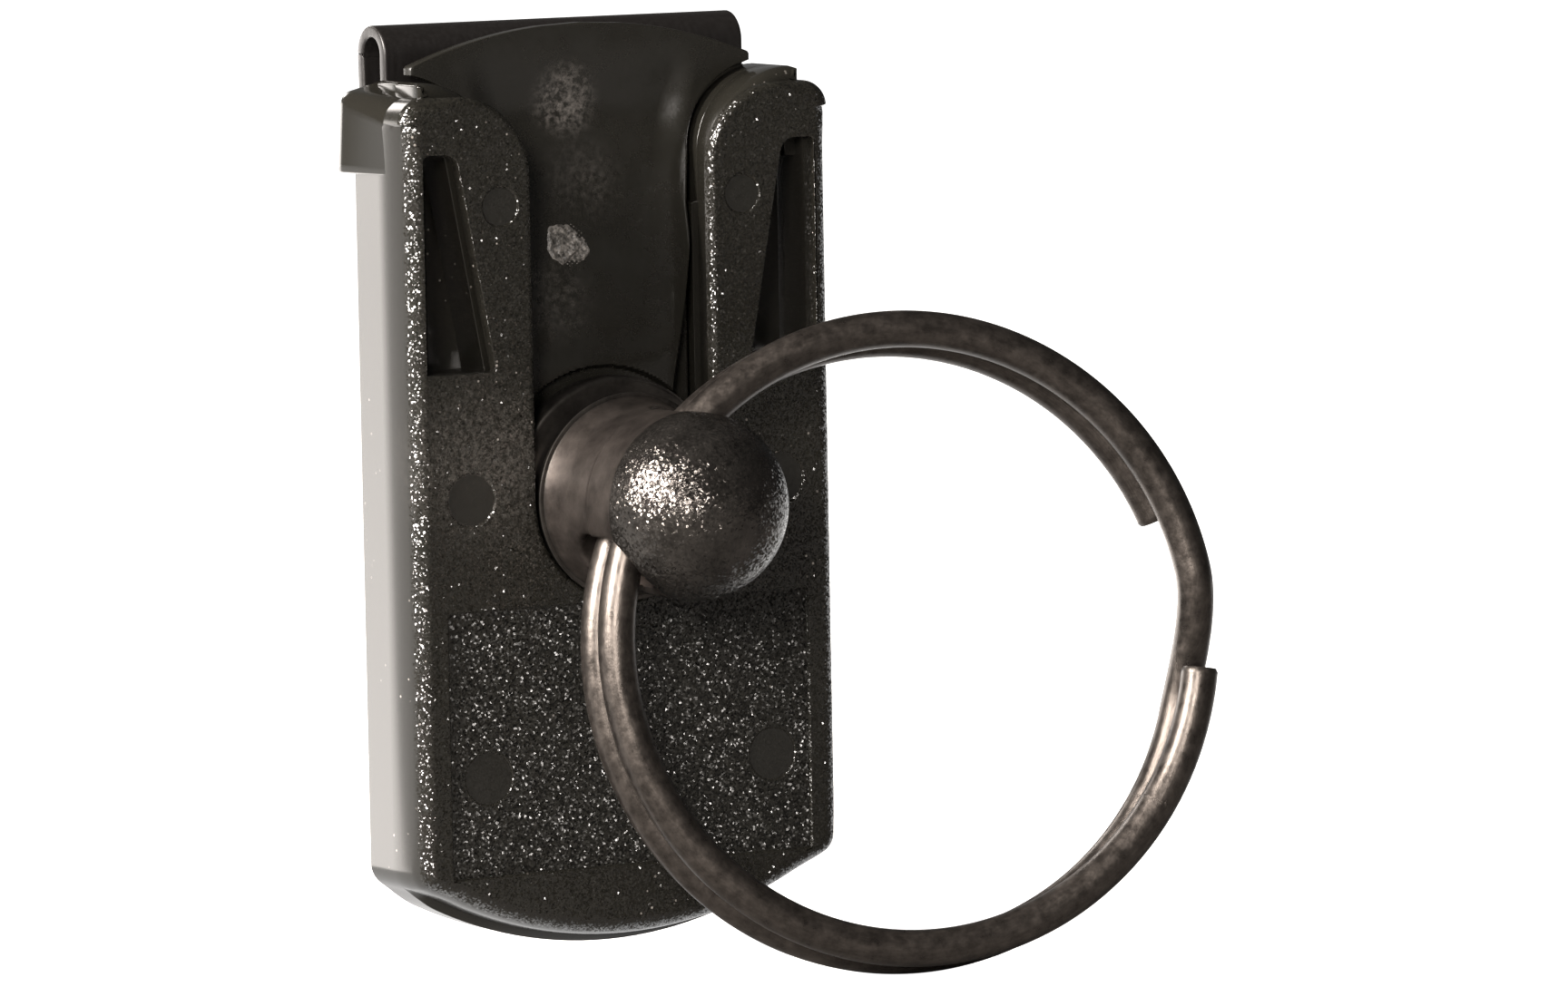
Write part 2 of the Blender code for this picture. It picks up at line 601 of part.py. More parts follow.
def make_belt_leaf(build):
    """Clip's springy leaf behind the belt, tapered to a rounded, turned-out foot."""
    thing = side_prism("clip_belt_leaf", sheet_section(belt_leaf_path()), CLIP_HALF + OVERRUN)
    top = BEND_CENTRE + BEND_RADIUS
    foot = CLIP_HALF * BELT_LEAF_FOOT_SHARE
    corners = [(CLIP_HALF, top, 0), (CLIP_HALF, BELT_LEAF_TAPER, 0),
               (foot, BELT_LEAF_FOOT, BELT_LEAF_CORNER), (-foot, BELT_LEAF_FOOT, BELT_LEAF_CORNER),
               (-CLIP_HALF, BELT_LEAF_TAPER, 0), (-CLIP_HALF, top, 0)]
    trim = front_prism("belt_leaf_trim", rounded(corners), 0, BODY_DEPTH * 3)
    build.keep(thing, trim)
    hang(thing, (0, *BELT_LEAF_TURN))
    return build.finish(thing, (0.02, 0.02, 0.021), 0.45, 0.2)


def make_stud_disc(build):
    """Disc that slides behind the lips, bored for the stud's stem and sunk for its spread end."""
    outer, chamfer = DISC_RADIUS, DISC_CHAMFER
    front, rear = -DISC_FRONT, -DISC_REAR
    bore, sink = STEM_RADIUS + SEAT_GAP, RIVET_RADIUS + SEAT_GAP
    profile = [
        (bore, front),
        (outer - chamfer, front),
        (outer, front - chamfer),
        (outer, rear + chamfer),
        (outer - chamfer, rear),
        (sink, rear),
        (sink, front - WEB_THICK),
        (bore, front - WEB_THICK),
        (bore, front),
    ]
    thing = lathe("stud_disc", profile)
    return build.finish(thing, (0.05, 0.05, 0.052), 0.35, 0.9)


def make_ball_stud(build):
    """Turned stud: ball, neck, collar over the lips, stem through the disc and its spread end."""
    neck = BALL_RADIUS - NECK_STEP
    under_disc = -(DISC_FRONT + WEB_THICK + SEAT_GAP)
    collar = SEAT_GAP + COLLAR_THICK
    ball = arc((0, BALL_REACH), BALL_RADIUS, math.pi / 2, 0)
    profile = [(max(0, r), h) for r, h in ball] + [
        (BALL_RADIUS, NECK_STEP_REACH),
        (neck, NECK_STEP_REACH - NECK_STEP),
        (neck, collar + COLLAR_CONE),
        (COLLAR_RADIUS, collar),
        (COLLAR_RADIUS, SEAT_GAP),
        (THROAT_RADIUS, SEAT_GAP),
        (THROAT_RADIUS, -(DISC_FRONT - SEAT_GAP)),
        (STEM_RADIUS, -(DISC_FRONT - SEAT_GAP)),
        (STEM_RADIUS, under_disc),
        (RIVET_RADIUS, under_disc),
        (RIVET_RADIUS, under_disc - RIVET_THICK),
        (0, under_disc - RIVET_THICK),
    ]
    thing = lathe("ball_stud", profile)
    near = FACE_Y - CROSS_HOLE_REACH - CROSS_HOLE_LENGTH / 2
    far = near + CROSS_HOLE_LENGTH
    low = CROSS_HOLE_OFFSET - CROSS_HOLE_WIDTH / 2
    high = low + CROSS_HOLE_WIDTH
    turn = CROSS_HOLE_ROUND
    outline = rounded([(near, low, turn), (far, low, turn), (far, high, turn), (near, high, turn)])
    reach = BALL_RADIUS + OVERRUN
    build.cut(thing, prism("cross_hole", outline, (BACK, CROSS_SIDE, CROSS_DIRECTION), -reach, reach))
    return build.finish(thing, (0.05, 0.05, 0.052), 0.4, 0.6)


def ring_point(turned, axes, centre):
    """Middle of the wire after an angle turned from its front end; the crossing eases over smoothly."""
    radius = (RING_OUTER - WIRE) / 2
    inward, along, normal = axes
    crossing = (turned - (2 * math.pi - CROSSING_ANGLE)) / CROSSING_ANGLE
    share = min(1, max(0, crossing))
    side = 0.5 - (3 * share ** 2 - 2 * share ** 3)
    angle = FRONT_END_ANGLE - turned
    flat = inward * math.cos(angle) + along * math.sin(angle)
    pitch = WIRE + TURN_GAP
    return centre + flat * radius + normal * pitch * side + along * TURN_SHIFT * side


def ring_points():
    """Points down the middle of the split ring's wire, nearly two full turns."""
    inward = -CROSS_SIDE * math.cos(RING_LIFT) - BACK * math.sin(RING_LIFT)
    normal = CROSS_SIDE * math.sin(RING_LIFT) - BACK * math.cos(RING_LIFT)
    reach = (RING_OUTER - WIRE) / 2 - RING_PLAY
    centre = CROSS_CENTRE + inward * reach
    total = 4 * math.pi - CROSSING_ANGLE
    count = math.ceil(POINTS_A_TURN * total / (2 * math.pi))
    axes = (inward, CROSS_DIRECTION, normal)
    return [ring_point(total * i / count, axes, centre) for i in range(count + 1)]


def least_gap(points):
    """Least distance between the wire's surfaces on different turns."""
    half_turn = POINTS_A_TURN // 2
    spans = [(a - b).length for i, a in enumerate(points) for b in points[i + half_turn:]]
    return min(spans) - WIRE


def make_split_ring(build):
    """Split ring: one unbroken wire of nearly two turns through the stud's cross hole."""
    points = ring_points()
    print(f"split ring: least gap between turns {least_gap(points) / MM:.2f} mm")
    data = bpy.data.curves.new("split_ring", "CURVE")
    data.dimensions = "3D"
    data.bevel_depth = WIRE / 2
    data.bevel_resolution = 2
    data.use_fill_caps = True
    spline = data.splines.new("POLY")
    spline.points.add(len(points) - 1)
    for point, place in zip(spline.points, points):
        point.co = (*place, 1)
    thing = bpy.data.objects.new("split_ring", data)
    bpy.context.scene.collection.objects.link(thing)
    hang(thing, CROSS_CENTRE)
    return build.finish(thing, (0.06, 0.058, 0.055), 0.3, 0.9)


def main():
    """Clears the scene and builds every piece."""
    for thing in list(bpy.data.objects):
        bpy.data.objects.remove(thing)
    build = Build()
    make_front_housing(build)
    make_rear_housing(build)
    make_thumb_tongue(build)
    make_mounting_leaf(build)
    make_belt_leaf(build)
    make_stud_disc(build)
    make_ball_stud(build)
    make_split_ring(build)


main()
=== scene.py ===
"""Dresses the key coupler: fine surfaces and materials for each of its pieces, a stage, lights and a camera."""
import math

import bmesh
import bpy
import numpy as np
from mathutils import Matrix, Vector
from mathutils.geometry import tessellate_polygon


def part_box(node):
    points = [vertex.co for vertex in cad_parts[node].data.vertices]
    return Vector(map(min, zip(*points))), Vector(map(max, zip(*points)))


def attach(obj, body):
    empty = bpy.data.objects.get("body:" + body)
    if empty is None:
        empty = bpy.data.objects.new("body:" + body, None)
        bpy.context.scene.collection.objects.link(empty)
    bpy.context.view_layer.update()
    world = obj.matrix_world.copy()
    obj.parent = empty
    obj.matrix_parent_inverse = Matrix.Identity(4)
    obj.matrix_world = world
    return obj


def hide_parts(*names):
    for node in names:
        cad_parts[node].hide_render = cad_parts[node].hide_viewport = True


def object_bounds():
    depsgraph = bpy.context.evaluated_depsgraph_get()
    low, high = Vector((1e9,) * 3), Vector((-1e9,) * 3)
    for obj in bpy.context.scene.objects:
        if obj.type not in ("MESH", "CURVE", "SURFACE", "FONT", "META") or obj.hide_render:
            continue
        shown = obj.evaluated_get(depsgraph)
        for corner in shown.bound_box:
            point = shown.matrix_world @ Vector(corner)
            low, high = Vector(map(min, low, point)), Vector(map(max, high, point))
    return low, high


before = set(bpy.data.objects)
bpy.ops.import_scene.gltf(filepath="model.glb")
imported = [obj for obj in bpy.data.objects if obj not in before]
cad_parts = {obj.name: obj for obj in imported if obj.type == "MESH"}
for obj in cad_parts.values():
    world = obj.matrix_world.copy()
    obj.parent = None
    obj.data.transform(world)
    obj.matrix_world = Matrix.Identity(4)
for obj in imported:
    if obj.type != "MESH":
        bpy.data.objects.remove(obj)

bl_info = {
    "name": "Key Coupler Maker",
    "version": (1, 0, 0),
    "blender": (4, 5, 0),
    "location": "3D View > Sidebar > Key Coupler",
    "description": "Makes the moulded body, belt clip, ball stud and split ring of a key coupler",
    "category": "Add Mesh",
}

CAD_BOUNDS = [list(corner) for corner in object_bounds()]
MM = 0.001
DEG = math.pi / 180

# Places that come from the frame, in millimetres
BODY_LOW, BODY_HIGH = (np.array(corner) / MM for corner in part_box("front_housing"))
TONGUE_LOW, TONGUE_HIGH = (np.array(corner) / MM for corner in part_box("thumb_tongue"))
LEAF_LOW, LEAF_HIGH = (np.array(corner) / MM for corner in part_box("clip_mounting_leaf"))
BELT_LOW, BELT_HIGH = (np.array(corner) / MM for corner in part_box("clip_belt_leaf"))
DISC_LOW, DISC_HIGH = (np.array(corner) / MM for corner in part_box("stud_disc"))
FACE = BODY_LOW[1]                  # the body's front face
HALF = BODY_HIGH[0]                 # half the body's width
TOP = BODY_HIGH[2]                  # the tops of the slot's two arms
WALL_DEPTH = BODY_HIGH[1] - FACE    # how far back the front moulding's walls reach
BACK = np.array((0.0, 1.0, 0.0))

# Sizes fitted to the photograph, in millimetres from the middle of the slot's round seat
FOOT_RADIUS = 26.09                 # arc of the body's foot
CORNER = 1.6                        # rounding of the front plate's corners
SHOULDER = 4.85                     # rounding of an arm at the slot's mouth
SLOT_HALF = 6.05                    # half the slot's width, and the radius of its seat
EDGE = 0.8                          # rounding of the front plate's rim
SLOT_EDGE = 0.4                     # the same along the slot
DRAFT, DRAFT_DEPTH = 0.42, 3.4      # how far the side walls draw out, and over what depth
# Depths at which the walls have a ring of points
WALL_REACHES = (1.4, 1.7, 2.0, 2.3, 2.5, 2.7, 2.85, 3.0, 3.07, 3.15, 3.2, 3.27, 3.33, 3.4, 3.45)
FLANGE_DEPTHS = (0, 2.7, 3.0, 3.15, 3.4, 9.0)    # the foot's flange: depths, and the wall's inset at each
FLANGE_INSETS = (0.22, 0.22, 0.34, 0.34, -0.28, -0.28)
WINDOW_FOOT, WINDOW_TOP = 7.85, 20.8
WINDOW_SIDE = 13.2                  # a window's outer side
WINDOW_INNER = 11.05                # its inner side at the top
WINDOW_TAPER = 2.4                  # how much nearer the middle that side is at the foot
MARKS = ((8.2, 17.6, 2.4), (10.5, 0.4, 3.2))    # (x, z, diameter) of the plate's ejector marks
PANEL_MARK = (9.66, -16.2, 3.2)     # the same of the grained panel's
MARK_SINK, PANEL_MARK_SINK = 0.10, 0.06
PANEL_HALF, PANEL_TOP, PANEL_FOOT = 12.25, -6.2, -22.1
PANEL_GAP = 0.62                    # smooth band between the slot's seat and the grained panel
BALL, BALL_REACH = 5.6, 7.9         # the ball's radius, and how far its centre stands off the face
COLLAR_DEPTH = 0.42                 # where the neck's collar begins, in front of the face
HOLE_ANGLE = 56.0 * DEG             # direction of the cross hole, turned about the stud
HOLE_REACH, HOLE_ACROSS = 2.9, 2.2  # half the hole's size along the stud and across it
HOLE_ROUND = 1.6                    # rounding of its corners
HOLE_ALONG = np.array((math.cos(HOLE_ANGLE), 0.0, math.sin(HOLE_ANGLE)))
HOLE_SIDE = np.cross(HOLE_ALONG, BACK)
HOLE_CENTRE = BACK * (FACE - 5.5) + HOLE_SIDE * 1.0

# Material numbers of the front moulding
SKIN, GRAINED, PIN_MARK = 0, 1, 2


def length(name, description, default):
    """A setting that is a length in metres."""
    return bpy.props.FloatProperty(name=name, description=description, default=default, unit="LENGTH")


def paint(name, description, default):
    """A setting that is a colour."""
    return bpy.props.StringProperty(name=name, description=description + ", sRGB hex", default=default)


class KeyCouplerSizes(bpy.types.PropertyGroup):
    """Sizes that a user would change."""

    wire: length("Wire", "Diameter of the ring's wire", 0.0022)
    ring: length("Ring", "Outer diameter of the split ring", 0.0381)
    ring_lift: bpy.props.FloatProperty(name="Ring lift", description="Tilt of the ring off the body's face",
                                       default=13.5 * DEG, subtype="ANGLE")
    lip: length("Lip", "Thickness of the front plate", 0.0008)
    panel_sink: length("Panel sink", "Depth of the grained panel", 0.00015)
    grain: length("Grain", "Width of one grain of the panel", 0.00012)


class KeyCouplerColours(bpy.types.PropertyGroup):
    """Colours that a user would change."""

    housing: paint("Housing", "Black of the mouldings", "151411")
    steel: paint("Clip", "Black oxide of the clip", "151312")
    stud: paint("Stud", "Black of the cast stud", "403d3a")
    neck: paint("Neck", "Rubbed grey of the stud's neck", "4e4844")
    ring: paint("Ring", "Gunmetal of the ring", "46413d")


def linear(text):
    """sRGB hex to linear RGBA."""
    values = np.array([int(text[i:i + 2], 16) for i in (0, 2, 4)]) / 255
    values = np.where(values <= 0.04045, values / 12.92, ((values + 0.055) / 1.055) ** 2.4)
    return (*values.tolist(), 1.0)


def add(tree, kind, places=None, **settings):
    """Adds a node; places maps its inputs to values, or to the outputs to link them to."""
    node = tree.nodes.new(kind)
    for name, value in settings.items():
        setattr(node, name, value)
    for key, value in (places or {}).items():
        if isinstance(value, bpy.types.NodeSocket):
            tree.links.new(value, node.inputs[key])
        else:
            node.inputs[key].default_value = value
    return node


def blank(name):
    """A material with an empty tree, its tree, and the object coordinates in it."""
    material = bpy.data.materials.new(name)
    material.use_nodes = True
    tree = material.node_tree
    tree.nodes.clear()
    return material, tree, add(tree, "ShaderNodeTexCoord").outputs["Object"]


def coated(material, places):
    """Ends a material with one principled shader of the given inputs."""
    shader = add(material.node_tree, "ShaderNodeBsdfPrincipled", places)
    add(material.node_tree, "ShaderNodeOutputMaterial", {"Surface": shader.outputs[0]})
    return material


def noise(tree, place, scale, detail, roughness=0.5):
    """Noise, 0 to 1, of about so many waves a metre."""
    return add(tree, "ShaderNodeTexNoise", {"Vector": place, "Scale": scale, "Detail": detail,
                                            "Roughness": roughness}).outputs["Fac"]


def spread(tree, value, low, high, to_low=0.0, to_high=1.0, **settings):
    """Maps a value's range to another one, held at its ends."""
    return add(tree, "ShaderNodeMapRange", {"Value": value, "From Min": low, "From Max": high,
                                            "To Min": to_low, "To Max": to_high}, **settings).outputs[0]


def calc(tree, operation, *values):
    """Reckons with numbers."""
    return add(tree, "ShaderNodeMath", dict(enumerate(values)), operation=operation).outputs[0]


def vector(tree, operation, *values):
    """Reckons with vectors."""
    return add(tree, "ShaderNodeVectorMath", dict(enumerate(values)), operation=operation).outputs[0]


def mixed(tree, share, first, second, blend_type="MIX"):
    """Mixes two colours, or multiplies them."""
    return add(tree, "ShaderNodeMix", {"Factor": share, 6: first, 7: second}, data_type="RGBA",
               blend_type=blend_type).outputs[2]


def bump(tree, height, distance, strength, normal=None):
    """A normal bumped by a height of a distance in metres, on top of another normal or the surface's own."""
    places = {"Height": height, "Distance": distance, "Strength": strength}
    if normal is not None:
        places["Normal"] = normal
    return add(tree, "ShaderNodeBump", places).outputs[0]


def ramp(tree, value, stops):
    """A colour ramp over grey levels; stops are (place, level)."""
    node = add(tree, "ShaderNodeValToRGB", {"Fac": value})
    elements = node.color_ramp.elements
    while len(elements) < len(stops):
        elements.new(0.5)
    for element, (place, level) in zip(elements, stops):
        element.position = place
        element.color = (level, level, level, 1)
    return node.outputs["Color"]


def rub_and_sheen_share(tree, place, spots):
    """Share of paler skin, 0 to 1, for wear from rubbing and for painted sheen: soft balls of (x, y, z, radius)
    millimetres and a level, broken up by noise.
    """
    keep = spread(tree, noise(tree, place, 2600.0, 4.0, 0.75), 0.42, 0.68)
    total = None
    for x, y, z, radius, level in spots:
        away = add(tree, "ShaderNodeVectorMath", {0: place, 1: (x * MM, y * MM, z * MM)},
                   operation="DISTANCE").outputs["Value"]
        soft = spread(tree, away, radius * MM, 0.2 * radius * MM, 0.0, level, interpolation_type="SMOOTHSTEP")
        total = soft if total is None else calc(tree, "MAXIMUM", total, soft)
    return calc(tree, "MULTIPLY", total, keep)


def faceted(tree, place, size, tilt, share):
    """A normal tilted at random in cells of a given size, like crystal faces; most cells tilt little.

    A cell's tilt is its random colour less a half, times its own amount, so that large tilts are rare.
    """
    cell = add(tree, "ShaderNodeTexVoronoi", {"Vector": place, "Scale": 1 / size}).outputs["Color"]
    lean = vector(tree, "SUBTRACT", cell, (0.5, 0.5, 0.5))
    lean = vector(tree, "MULTIPLY", lean, vector(tree, "ABSOLUTE", lean))
    level = calc(tree, "MULTIPLY", share, 4.0 * tilt)
    lean = add(tree, "ShaderNodeVectorMath", {0: lean, "Scale": level}, operation="SCALE").outputs[0]
    normal = add(tree, "ShaderNodeNewGeometry").outputs["Normal"]
    return vector(tree, "NORMALIZE", vector(tree, "ADD", normal, lean))


def spark_eroded_abs(name, colour, grain, depth, roughness, specks, tilt, rubbed_and_sheen=(), walls=0.21):
    """Black ABS moulded in a spark-eroded tool: a fine pebbled front that glitters, with pale specks of dust; the
    given spots are a painted sheen, lightened into the colour.

    Behind the front's edge the skin is plain, with the roughness walls. Real erosion pits are about 0.05 mm
    wide; grain is coarser, so that single glints show.
    """
    material, tree, place = blank(name)
    depth_along = add(tree, "ShaderNodeSeparateXYZ", {0: place}).outputs["Y"]
    front = spread(tree, depth_along, (FACE + 0.9) * MM, (FACE + 0.5) * MM)
    pits = calc(tree, "MULTIPLY", noise(tree, place, 1 / grain, 1.5, 0.7), front)
    normal = bump(tree, pits, depth, 1.0, faceted(tree, place, grain, tilt, front))
    dust = add(tree, "ShaderNodeTexVoronoi", {"Vector": place, "Scale": 1300.0}).outputs["Distance"]
    dots = ramp(tree, dust, [(0.0, specks), (0.08, specks), (0.11, 0.0)])
    patches = ramp(tree, noise(tree, place, 180.0, 5.0), [(0.5, 0.0), (0.62, 1.0)])
    share = calc(tree, "MULTIPLY", dots, patches)
    # Painted sheen: the given spots lighten the base colour where a soft reflection lies
    if rubbed_and_sheen:
        share = calc(tree, "MAXIMUM", share, rub_and_sheen_share(tree, place, rubbed_and_sheen))
    return coated(material, {"Base Color": mixed(tree, share, linear(colour), linear("9a948e")), "IOR": 1.53,
                             "Roughness": spread(tree, front, 0.0, 1.0, walls, roughness), "Normal": normal})


def polished_abs(name, colour, roughness, rubbed_and_sheen):
    """Black ABS moulded in a polished tool, with soft waves, rubbed patches and fine scuffs from use."""
    material, tree, place = blank(name)
    waves = bump(tree, noise(tree, place, 260.0, 1.0), 0.00012, 0.6)
    normal = bump(tree, noise(tree, place, 5200.0, 3.0), 0.000008, 0.8, waves)
    gloss = spread(tree, noise(tree, place, 240.0, 6.0, 0.7), 0.4, 0.7, roughness * 0.75, roughness * 1.5)
    skin = mixed(tree, rub_and_sheen_share(tree, place, rubbed_and_sheen), linear(colour), linear("8d8782"))
    return coated(material, {"Base Color": skin, "Roughness": gloss, "IOR": 1.53, "Normal": normal})


def torn_abs(name, colour):
    """Black ABS torn when cold: rough and whitened by the strain."""
    material, tree, place = blank(name)
    grain = noise(tree, place, 3400.0, 4.0, 0.7)
    skin = mixed(tree, spread(tree, grain, 0.4, 0.66, 0.02, 0.35), linear(colour), linear("a09a94"))
    normal = bump(tree, grain, 0.00008, 1.0)
    return coated(material, {"Base Color": skin, "Roughness": 0.4, "IOR": 1.53, "Normal": normal})


def black_oxide_steel(name, colour):
    """Rolled spring steel, blackened and oiled: a satin skin with faint rolling marks."""
    material, tree, place = blank(name)
    stretched = add(tree, "ShaderNodeMapping", {"Vector": place, "Scale": (1.0, 1.0, 0.08)}).outputs[0]
    gloss = spread(tree, noise(tree, stretched, 4000.0, 3.0), 0.3, 0.7, 0.32, 0.48)
    normal = bump(tree, noise(tree, place, 1500.0, 4.0), 0.00002, 0.8)
    return coated(material, {"Base Color": linear(colour), "Roughness": gloss, "Metallic": 0.35, "Normal": normal})


def cast_black_zinc(name, colour, neck, cap, collar=1.0):
    """Die-cast zinc, blackened: the cap keeps its coarse shot-blasted skin, the neck is rubbed grey and satin.

    The cap lies in front of the depth cap, and behind the depth collar the collar is painted dark as shade where it
    meets the plate, both in metres.
    """
    material, tree, place = blank(name)
    depth = add(tree, "ShaderNodeSeparateXYZ", {0: place}).outputs["Y"]
    on_cap = spread(tree, depth, cap + 0.00025, cap)
    # Painted shade: the collar at the neck's foot, against the plate, takes the dark colour
    collar_painted_shade = spread(tree, depth, collar - 0.0003, collar)
    grit = calc(tree, "MULTIPLY", noise(tree, place, 4200.0, 2.0, 0.7), on_cap)
    blasted = bump(tree, grit, 0.00003, 1.0, faceted(tree, place, 0.00013, 0.30, on_cap))
    smear = noise(tree, place, 520.0, 6.0, 0.7)
    base = mixed(tree, calc(tree, "MAXIMUM", on_cap, collar_painted_shade), linear(neck), linear(colour))
    tint = mixed(tree, 1.0, base, spread(tree, smear, 0.3, 0.7, 0.5, 1.5), "MULTIPLY")
    return coated(material, {"Base Color": tint, "Roughness": spread(tree, on_cap, 0.0, 1.0, 0.33, 0.21),
                             "Metallic": 0.9, "Normal": bump(tree, smear, 0.00003, 0.5, blasted)})


def drawn_gunmetal_wire(name, colour):
    """Drawn spring wire, blackened: long drawing lines along the wire and paler rubbed streaks."""
    material, tree, place = blank(name)
    along = add(tree, "ShaderNodeUVMap", uv_map="wire").outputs[0]
    stretched = add(tree, "ShaderNodeMapping", {"Vector": along, "Scale": (40.0, 26.0, 1.0)}).outputs[0]
    spots = noise(tree, place, 1300.0, 4.0, 0.7)
    height = calc(tree, "ADD", noise(tree, stretched, 1.0, 5.0, 0.7), spots)
    tint = mixed(tree, 1.0, linear(colour), spread(tree, height, 0.8, 1.25, 0.72, 1.35), "MULTIPLY")
    return coated(material, {"Base Color": tint, "Roughness": spread(tree, spots, 0.3, 0.7, 0.26, 0.44),
                             "Metallic": 0.9, "Normal": bump(tree, height, 0.00003, 0.7)})


def white_paper(name):
    """White paper that glows evenly to the camera; in mirrors it is painted darker, with a painted glow where it
    lies behind the part.
    """
    material, tree, place = blank(name)
    path = add(tree, "ShaderNodeLightPath").outputs
    depth = add(tree, "ShaderNodeSeparateXYZ", {0: place}).outputs["Y"]
    # Painted glow: in mirrors only, and only behind the part
    mirrored_glow = calc(tree, "MULTIPLY", path["Is Glossy Ray"], spread(tree, depth, -0.007, -0.005))
    seen = calc(tree, "MAXIMUM", path["Is Camera Ray"], mirrored_glow)
    # Painted shade: the paper is darker in mirrors than to the camera
    shade = mixed(tree, path["Is Glossy Ray"], linear("b9b7b4"), linear("5a5958"))
    paper = add(tree, "ShaderNodeBsdfDiffuse", {"Color": shade}).outputs[0]
    glow = add(tree, "ShaderNodeEmission", {"Color": (1, 1, 1, 1), "Strength": 1.0}).outputs[0]
    none = add(tree, "ShaderNodeEmission", {"Color": (0, 0, 0, 1), "Strength": 0.0}).outputs[0]
    lit = add(tree, "ShaderNodeMixShader", {0: seen, 1: none, 2: glow}).outputs[0]
    both = add(tree, "ShaderNodeAddShader", {0: paper, 1: lit}).outputs[0]
    add(tree, "ShaderNodeOutputMaterial", {"Surface": both})
    return material


class Shell:
    """Gathers points in millimetres and faces, with a material number for each face."""

    def __init__(self):
        self.points = []
        self.faces = []
        self.count = 0

    def put(self, points):
        """Adds points and gives the number of the first one."""
        points = np.asarray(points, float).reshape(-1, 3)
        start = self.count
        self.points.append(points)
        self.count += len(points)
        return start

    def grid(self, points, wrap=False, slot=0, flip=False):
        """Adds a (rows, columns, 3) grid of points; faces look along rows x columns, or back where flipped."""
        rows, columns = points.shape[:2]
        index = np.arange(rows * columns).reshape(rows, columns) + self.put(points)
        if wrap:
            index = np.concatenate([index, index[:, :1]], 1)
        quads = np.stack([index[:-1, :-1], index[1:, :-1], index[1:, 1:], index[:-1, 1:]], -1).reshape(-1, 4)
        if flip:
            quads = quads[:, ::-1]
        self.faces.append((quads, slot))

    def fill(self, loops, depth, slot=0, towards_back=False):
        """Fills flat loops of (x, z) points, the first one the border and the others holes, at one depth."""
        flat = np.concatenate(loops)
        points = np.stack([flat[:, 0], np.full(len(flat), FACE + depth), flat[:, 1]], 1)
        start = self.put(points)
        rings = [[Vector((x, z, 0)) for x, z in loop] for loop in loops]
        triangles = np.array(tessellate_polygon(rings))
        a, b, c = (flat[triangles[:, k]] for k in range(3))
        area = (b[:, 0] - a[:, 0]) * (c[:, 1] - a[:, 1]) - (b[:, 1] - a[:, 1]) * (c[:, 0] - a[:, 0])
        turned = (area < 0) != towards_back
        triangles[turned] = triangles[turned][:, ::-1]
        self.faces.append((triangles[np.abs(area) > 1e-9] + start, slot))

    def object(self, name, materials, weld=0.002, angle=35):
        """Makes the welded mesh object, with its place in its mesh."""
        mesh = bpy.data.meshes.new(name)
        points = np.concatenate(self.points) * MM
        faces = [face for group, _ in self.faces for face in group.tolist()]
        mesh.from_pydata(points.tolist(), [], faces)
        slots = np.concatenate([np.full(len(group), slot) for group, slot in self.faces]).astype(np.int32)
        mesh.polygons.foreach_set("material_index", slots)
        work = bmesh.new()
        work.from_mesh(mesh)
        bmesh.ops.remove_doubles(work, verts=work.verts, dist=weld * MM)
        bmesh.ops.dissolve_degenerate(work, edges=work.edges, dist=weld * MM / 4)
        work.to_mesh(mesh)
        work.free()
        for material in materials:
            mesh.materials.append(material)
        mesh.shade_smooth()
        mesh.set_sharp_from_angle(angle=angle * DEG)
        thing = bpy.data.objects.new(name, mesh)
        bpy.context.scene.collection.objects.link(thing)
        return thing


def arc(centre, radius, start, end, step):
    """Points on an arc, angles in degrees, at even steps."""
    count = max(1, math.ceil(abs(end - start) / step))
    angles = np.linspace(start, end, count + 1) * DEG
    return np.stack([centre[0] + radius * np.cos(angles), centre[1] + radius * np.sin(angles)], 1)


def rounded(corners, step):
    """Closed outline from (x, z, radius) corners, each corner with a radius made a tangent arc."""
    outline = []
    for i, (x, z, radius) in enumerate(corners):
        here = np.array((x, z), float)
        if radius == 0:
            outline.append(here[None])
            continue
        near = np.array([corners[i - 1][:2], corners[(i + 1) % len(corners)][:2]], float)
        before, after = unit(near - here)
        half = math.acos(np.clip(before @ after, -1, 1)) / 2
        middle = unit([before + after])[0]
        centre = here + middle * radius / math.sin(half)
        first = here + before * radius / math.tan(half) - centre
        last = here + after * radius / math.tan(half) - centre
        start = math.degrees(math.atan2(first[1], first[0]))
        turn = (math.degrees(math.atan2(last[1], last[0])) - start + 180) % 360 - 180
        outline.append(arc(centre, radius, start, start + turn, step))
    return np.concatenate(outline)


def even(loop, step):
    """A closed loop with its long edges cut into pieces of about one step; its own points stay."""
    ahead = np.roll(loop, -1, 0)
    counts = np.maximum(1, np.round(np.linalg.norm(ahead - loop, axis=1) / step).astype(int))
    pieces = [a + (b - a) * np.arange(n)[:, None] / n for a, b, n in zip(loop, ahead, counts)]
    return np.concatenate(pieces)


def unit(rows):
    """Rows of vectors, each at length 1."""
    return rows / np.linalg.norm(rows, axis=1, keepdims=True)


def lengths_along(path):
    """Distance along a path of points at each of them."""
    return np.concatenate([[0], np.cumsum(np.linalg.norm(np.diff(path, axis=0), axis=1))])


def inward(loop):
    """Mitred normals of a closed loop, to the left of its direction, for exact offsets."""
    ahead = unit(np.roll(loop, -1, 0) - loop)
    behind = np.roll(ahead, 1, 0)
    normal = np.stack([-(ahead + behind)[:, 1], (ahead + behind)[:, 0]], 1)
    return normal / (1 + (ahead * behind).sum(1, keepdims=True))


def mirrored(right):
    """Closes the right half of an outline, from x = 0 at its foot to x = 0 at its top, with its mirror image."""
    left = right[::-1] * (-1, 1)
    keep = np.abs(left[:, 0]) > 1e-6
    return np.concatenate([right, left[keep]])


